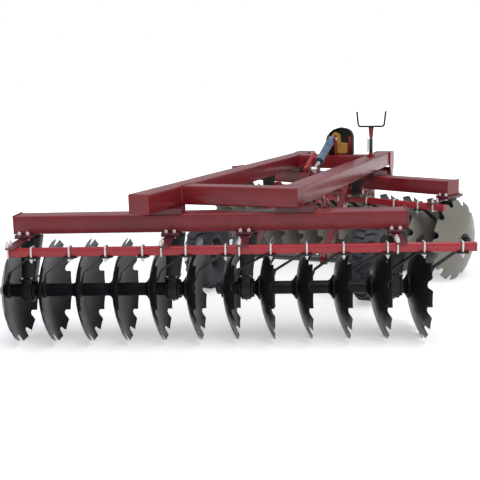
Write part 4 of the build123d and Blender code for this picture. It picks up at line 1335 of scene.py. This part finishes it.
@dataclass
class HoseFork:
    """Post on the right-hand beam with a spring-loaded sleeve and the forked rod that carries hoses."""

    ahead: float = 2.340
    base: float = 0.062
    base_thick: float = 0.008
    stub: float = 0.018
    stub_high: float = 0.026
    sleeve: float = 0.015
    sleeve_high: float = 0.120
    post: float = 0.009
    rod: float = 0.008
    rod_height: float = 1.205
    top: float = 1.333
    floor_half: float = 0.111
    mouth_half: float = 0.125
    bend: float = 0.024
    gusset: tuple[tuple[float, float], ...] = (
        (-0.023, -0.008), (-0.013, -0.100), (0.013, -0.100), (0.023, -0.008),
    )
    gusset_thick: float = 0.010
    spring_beside: float = 0.026

    def build(self) -> list[bpy.types.Object]:
        """Builds the fork.

        Returns:
            The post, the sleeve with its spring, and the rod.
        """
        foot = PLAN.point(PLAN.half_track, self.ahead, PLAN.frame_top)
        low = foot + Vector((0, 0, self.base_thick + self.stub_high))
        return [self.standing_post(foot, low), self.spring_sleeve(low), self.forked_rod(foot)]

    def standing_post(self, foot: Vector, low: Vector) -> bpy.types.Object:
        """Builds the base, the stub, the post and the gusset under the rod."""
        piece = Workpiece("rounded_fork_post")
        centre = foot + Vector((0, 0, self.base_thick / 2))
        piece.block(centre, (self.base, self.base, self.base_thick), corner=0.002)
        piece.rod(foot, low, self.stub, sides=24, chamfer=0.002)
        head = Vector((foot.x, foot.y, self.rod_height - self.rod))
        piece.rod(low, head, self.post, sides=20)
        plane = PLAN.rear_view(self.ahead, self.rod_height) @ Matrix.Translation((PLAN.half_track, 0, 0))
        piece.plate(list(self.gusset), plane, self.gusset_thick, corner=0.003, edge=0.002)
        for x in (-0.022, 0.022):
            for y in (-0.022, 0.022):
                piece.nut(foot + Vector((x, y, self.base_thick)), (0, 0, 1), POST_NUT)
        return piece.finished(FRAME_RED, Body.FRAME, Slot.FRAME, "fork_post")

    def spring_sleeve(self, low: Vector) -> bpy.types.Object:
        """Builds the black sleeve with the coil spring beside it, hooked on two clips."""
        piece = Workpiece("rounded_fork_sleeve")
        high = self.sleeve_high
        profile = [(0.0, self.post), (0.0, self.sleeve - 0.002), (0.003, self.sleeve),
                   (high - 0.003, self.sleeve), (high, self.sleeve - 0.002), (high, self.post)]
        piece.turned(low, (0, 0, 1), profile, steps=28, closed=True)
        axis = low - Vector((self.spring_beside, 0, 0))
        piece.coil(axis + Vector((0, 0, 0.016)), axis + Vector((0, 0, high - 0.010)), 0.0075, 0.0021, 9)
        for height in (0.008, high - 0.004):
            clip = low + Vector((0, 0, height))
            piece.bent_rod([clip - Vector((self.sleeve - 0.003, 0, 0)),
                            clip - Vector((self.spring_beside + 0.013, 0, 0)),
                            clip - Vector((self.spring_beside + 0.013, 0, -0.010))], 0.0026, 0.005, sides=8)
        return piece.finished(SLEEVE_BLACK, Body.FRAME, Slot.GUARD, "fork_sleeve")

    def forked_rod(self, foot: Vector) -> bpy.types.Object:
        """Builds the bent rod."""
        piece = Workpiece("bent_fork_rod")
        shape = [(-self.mouth_half, self.top), (-self.floor_half, self.rod_height),
                 (self.floor_half, self.rod_height), (self.mouth_half, self.top)]
        points = [Vector((foot.x + x, foot.y, z)) for x, z in shape]
        piece.bent_rod(points, self.rod, self.bend, sides=14, steps=6)
        return piece.finished(GUARD_BLACK, Body.FRAME, Slot.GUARD, "hose_fork")


@dataclass
class TransportWheel:
    """A transport wheel: a round tyre with slanted lugs on a bolted rim."""

    side: int
    half_track: float = 0.645
    lugs: int = 24
    slant: float = 22.0
    lug_half: float = 0.0155
    lug_narrowing: float = 0.8
    lug_top: float = 0.2858
    lug_root: float = 0.250
    lug_reach: tuple[float, float] = (0.003, 0.084)
    shoulder: float = 0.060
    shoulder_drop: float = 0.022
    profile: tuple[tuple[float, float], ...] = (
        (0.066, 0.126), (0.075, 0.128), (0.079, 0.137), (0.0855, 0.160), (0.088, 0.190), (0.087, 0.222),
        (0.082, 0.246), (0.073, 0.259), (0.056, 0.267), (0.028, 0.2705), (0.0, 0.2715),
    )

    def names(self) -> tuple[Body, str]:
        """The wheel's body and the start of its nodes' names."""
        if self.side < 0:
            return Body.LEFT_WHEEL, "left_wheel"
        return Body.RIGHT_WHEEL, "right_wheel"

    def build(self) -> list[bpy.types.Object]:
        """Builds the wheel.

        Returns:
            The tyre, the rim and its bolts.
        """
        body, name = self.names()
        middle = PLAN.point(self.side * self.half_track, *PLAN.wheel)
        place = Matrix.Translation(middle)
        tyre = Workpiece(f"{name}_lugged_tyre", place)
        mirrored = [(-x, radius) for x, radius in reversed(self.profile[:-1])]
        tyre.turned((0, 0, 0), (1, 0, 0), list(self.profile) + mirrored, steps=72, closed=True)
        for row in (-1, 1):
            source = self.lug(row)
            for index in range(self.lugs):
                angle = radians(360 / self.lugs * (index + row / 4))
                tyre.copy_of(source, Matrix.Rotation(angle, 4, "X"))
            bpy.data.meshes.remove(source)
        rim = Workpiece(f"{name}_turned_rim", place)
        self.dish(rim)
        bolts = Workpiece(f"{name}_rim_bolts", place)
        for face in (-1, 1):
            for index in range(6):
                angle = radians(60 * index)
                seat = Vector((face * 0.012, 0.072 * cos(angle), 0.072 * sin(angle)))
                bolts.nut(seat, (face, 0, 0), WHEEL_NUT)
        return [tyre.finished(RUBBER, body, Slot.TYRE, f"{name}_tyre"),
                rim.finished(RIM_GREY, body, Slot.RIM, f"{name}_rim"),
                bolts.finished(ZINC, body, Slot.RIM)]

    def lug(self, row: int) -> bpy.types.Mesh:
        """Builds one lug at the top of the tyre, straight over the tread and bent down over the shoulder.

        Args:
            row: -1 for the left row of lugs and 1 for the right one.

        Returns:
            Its mesh.
        """
        bm = bmesh.new()
        bmesh.ops.create_cube(bm, size=1.0)
        lengthwise = [e for e in bm.edges if Workpiece.runs_along(e, 0)]
        bmesh.ops.subdivide_edges(bm, edges=lengthwise, cuts=2, use_grid_fill=True)
        inner, outer = self.lug_reach
        for vert in bm.verts:
            along = inner + (outer - inner) * (vert.co.x + 0.5)
            drop = max(along - self.shoulder, 0.0) / (outer - self.shoulder) * self.shoulder_drop
            high = vert.co.z > 0
            half = self.lug_half * (self.lug_narrowing if high else 1.0)
            level = (self.lug_top if high else self.lug_root) - drop
            vert.co = Vector((along * row, half * 2 * vert.co.y, level))
        turn = Matrix.Rotation(radians(self.slant) * row, 4, "Z")
        bmesh.ops.transform(bm, matrix=turn, verts=bm.verts)
        return mesh_from(bm, "lug_pattern")

    def dish(self, rim: Workpiece) -> None:
        """Adds the rim's ring, its pressed disc and the hub.

        Args:
            rim: Piece that they join.
        """
        ring = [(-0.075, 0.1275), (-0.078, 0.133), (-0.075, 0.136), (-0.071, 0.128), (0.071, 0.128),
                (0.075, 0.136), (0.078, 0.133), (0.075, 0.1275), (0.070, 0.122), (0.045, 0.118),
                (0.030, 0.112), (-0.030, 0.112), (-0.045, 0.118), (-0.070, 0.122)]
        rim.turned((0, 0, 0), (1, 0, 0), ring, steps=48, closed=True)
        pressed = [(-0.012, 0.030), (-0.012, 0.088), (-0.004, 0.098), (-0.004, 0.113), (0.004, 0.113),
                   (0.004, 0.102), (0.012, 0.088), (0.012, 0.030)]
        rim.turned((0, 0, 0), (1, 0, 0), pressed, steps=48, closed=True)
        hub = [(-0.086, 0.0255), (-0.086, 0.036), (-0.083, 0.040), (-0.050, 0.042), (-0.046, 0.048),
               (0.046, 0.048), (0.050, 0.042), (0.083, 0.040), (0.086, 0.036), (0.086, 0.0255)]
        rim.turned((0, 0, 0), (1, 0, 0), hub, steps=36, closed=True)


@dataclass
class Drawbar:
    """Drawbar arms and brace, with rounded corners."""

    boss: float = 0.042
    boss_gap: float = 0.003
    pin: float = 0.016
    pin_fit: float = 0.0003
    arm_wide: float = 0.060
    arm_high: float = 0.080
    corner: float = 0.007

    def build(self) -> list[bpy.types.Object]:
        """Builds the drawbar.

        Returns:
            The arms and the brace.
        """
        return [self.arms(), self.brace()]

    def arms(self) -> bpy.types.Object:
        """Builds the two arms with their hinge bosses."""
        piece = Workpiece("rounded_drawbar_arms")
        for side in (-1, 1):
            start = PLAN.point(side * PLAN.half_track, *PLAN.hinge)
            end = PLAN.point(side * self.arm_wide / 2, PLAN.tongue_start, PLAN.tongue_height)
            end.y += PLAN.tongue_wide
            line = end - start
            across = Vector((0, 0, 1)).cross(line).normalized()
            turn = Matrix((across, line.normalized().cross(across), line.normalized())).transposed().to_4x4()
            near = start + line.normalized() * (self.boss * 0.7)
            stop = start + line * (1 - PLAN.tongue_wide * 0.9 / line.length)
            long = (stop - near).length
            piece.block((near + stop) / 2, (self.arm_wide, self.arm_high, long), turn=turn,
                        corner=self.corner, steps=3, along=2)
            wide = PLAN.beam_wide - 2 * self.boss_gap
            piece.ring(start, (1, 0, 0), self.pin + self.pin_fit, self.boss, wide, bevel=0.003, steps=36)
        return piece.finished(FRAME_RED, Body.DRAWBAR, Slot.FRAME, "drawbar_arms")

    def brace(self) -> bpy.types.Object:
        """Builds the brace between the arms."""
        piece = Workpiece("rounded_drawbar_brace")
        low, high = node_box("drawbar_brace")
        middle = (low + high) / 2
        piece.block(middle, high - low, corner=self.corner, steps=3, along=0)
        return piece.finished(FRAME_RED, Body.DRAWBAR, Slot.FRAME, "drawbar_brace")


@dataclass
class CadFinishes:
    """Finishes of the CAD nodes that stay in view."""

    by_ending: dict[str, Finish] = field(default_factory=lambda: {
        "_bar_brackets": DARK_RED,
        "_frame_pads": DARK_RED,
        "_scrapers": HANGER_BLACK,
        "rock_shaft_bearings": HANGER_BLACK,
        "wheel_axle": DARK_STEEL,
        "_pins": ZINC,
    })

    def build(self) -> None:
        """Gives each CAD node its finish, which is the frame's red where the table has none."""
        for name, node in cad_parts.items():
            fitting = [finish for ending, finish in self.by_ending.items() if name.endswith(ending)]
            picked = fitting[0] if fitting else FRAME_RED
            node.data.materials.clear()
            node.data.materials.append(picked.material())


@dataclass(frozen=True)
class Studio:
    """Floor, lights and the camera at the photograph's angle."""

    eye: tuple[float, float, float] = (1.8459, -5.8567, 1.500)
    yaw: float = 22.175
    pitch: float = 10.718
    roll: float = -1.443
    focal_in_widths: float = 766.56 / 480.0
    floor_glow: float = 0.42
    clear_from: float = 2.4
    clear_by: float = 6.0

    def build(self) -> None:
        """Builds the floor, the lamps, the world and the camera."""
        self.floor()
        self.sky()
        self.lamps()
        self.camera()

    def floor_finish(self) -> bpy.types.Material:
        """A pale floor that clears to white away from the machine and still takes its soft shadow.

        Returns:
            The floor's material.
        """
        made = bpy.data.materials.new("pale_floor")
        made.use_nodes = True
        tree, link = made.node_tree, made.node_tree.links.new
        shader = tree.nodes["Principled BSDF"]
        fill(shader, {"Base Color": (0.80, 0.80, 0.81, 1.0), "Roughness": 0.9, "Specular IOR Level": 0.1})
        glow = add_node(tree, "Emission", {"Color": (1.0, 1.0, 1.0, 1.0)})
        place = add_node(tree, "TexCoord")
        reach = add_node(tree, "VectorMath", operation="LENGTH")
        link(place.outputs["Object"], reach.inputs[0])
        clear = add_node(tree, "MapRange", {"From Min": self.clear_from, "From Max": self.clear_by,
                                            "To Min": self.floor_glow, "To Max": 1.0},
                         interpolation_type="SMOOTHSTEP")
        link(reach.outputs["Value"], clear.inputs["Value"])
        path = add_node(tree, "LightPath").outputs
        direct = greatest(tree, path["Is Camera Ray"], path["Is Glossy Ray"], path["Is Transmission Ray"])
        seen = add_node(tree, "Math", operation="MULTIPLY")
        link(clear.outputs["Result"], seen.inputs[0])
        link(direct, seen.inputs[1])
        link(seen.outputs["Value"], glow.inputs["Strength"])
        both = add_node(tree, "AddShader")
        link(shader.outputs["BSDF"], both.inputs[0])
        link(glow.outputs["Emission"], both.inputs[1])
        link(both.outputs["Shader"], tree.nodes["Material Output"].inputs["Surface"])
        return made

    def floor(self) -> None:
        """Lays a wide pale floor at the height that the machine stands on."""
        bm = bmesh.new()
        bmesh.ops.create_grid(bm, x_segments=1, y_segments=1, size=60.0)
        bmesh.ops.translate(bm, vec=Vector((0, 0, -0.001)), verts=bm.verts)
        mesh = mesh_from(bm, "studio_floor")
        mesh.materials.append(self.floor_finish())
        add_object("studio_floor", mesh)

    def sky(self) -> None:
        """Sets a white surround for the camera and through glass, and a softer one for all other light."""
        world = bpy.data.worlds.new("studio")
        bpy.context.scene.world = world
        world.use_nodes = True
        tree, link = world.node_tree, world.node_tree.links.new
        back = tree.nodes["Background"]
        fill(back, {"Color": (0.90, 0.95, 1.0, 1.0), "Strength": 0.55})
        seen = add_node(tree, "Background", {"Color": (1.0, 1.0, 1.0, 1.0), "Strength": 1.0})
        path = add_node(tree, "LightPath").outputs
        mixed = add_node(tree, "MixShader")
        link(greatest(tree, path["Is Camera Ray"], path["Is Transmission Ray"]), mixed.inputs["Fac"])
        link(back.outputs["Background"], mixed.inputs[1])
        link(seen.outputs["Background"], mixed.inputs[2])
        link(mixed.outputs["Shader"], tree.nodes["World Output"].inputs["Surface"])

    def lamps(self) -> None:
        """Hangs one broad soft lamp over the machine and a weaker one beside the camera."""
        table = (
            ("overhead_lamp", (1.0, -2.5, 7.0), (0.0, 0.0, 0.4), 6.0, 330.0),
            ("side_lamp", (6.5, -5.0, 3.5), (0.0, -0.5, 0.5), 3.0, 110.0),
        )
        for name, place, aim, size, power in table:
            data = bpy.data.lights.new(name, "AREA")
            data.size = size
            data.energy = power
            lamp = add_object(name, data)
            lamp.location = place
            lamp.rotation_mode = "QUATERNION"
            lamp.rotation_quaternion = (Vector(aim) - Vector(place)).to_track_quat("-Z", "Y")

    def camera(self) -> None:
        """Sets the camera from its place, its turns and its focal length."""
        yaw, pitch, roll = (radians(a) for a in (self.yaw, self.pitch, self.roll))
        ahead = Vector((-sin(yaw) * cos(pitch), cos(yaw) * cos(pitch), -sin(pitch)))
        right = Vector((cos(yaw), sin(yaw), 0.0))
        up = right.cross(ahead)
        across = right * cos(roll) + up * sin(roll)
        upward = up * cos(roll) - right * sin(roll)
        data = bpy.data.cameras.new("camera")
        data.sensor_width = 36.0
        data.lens = self.focal_in_widths * data.sensor_width
        data.clip_end = 200.0
        camera = add_object("camera", data)
        turn = Matrix((across, upward, -ahead)).transposed().to_4x4()
        camera.matrix_world = Matrix.Translation(Vector(self.eye)) @ turn
        bpy.context.scene.camera = camera
        bpy.context.scene.view_settings.view_transform = "Standard"


def main() -> None:
    """Builds every piece in order."""
    logging.basicConfig(level=logging.INFO, format="%(name)s: %(message)s")
    Studio().build()
    CadFinishes().build()
    FrameTubes().build()
    for row in ROWS:
        GangBeams(row).build()
        for half in (0, 1):
            DiscGang(row, half).build()
            GangAxle(row, half).build()
        BearingSet(row).build()
        HangerSet(row).build()
        ScraperBar(row).build()
    LiftLinkage().build()
    LiftCylinder().build()
    MastGuard().build()
    HoseFork().build()
    for side in (-1, 1):
        TransportWheel(side).build()
    Drawbar().build()


if __name__ == "__main__":
    main()
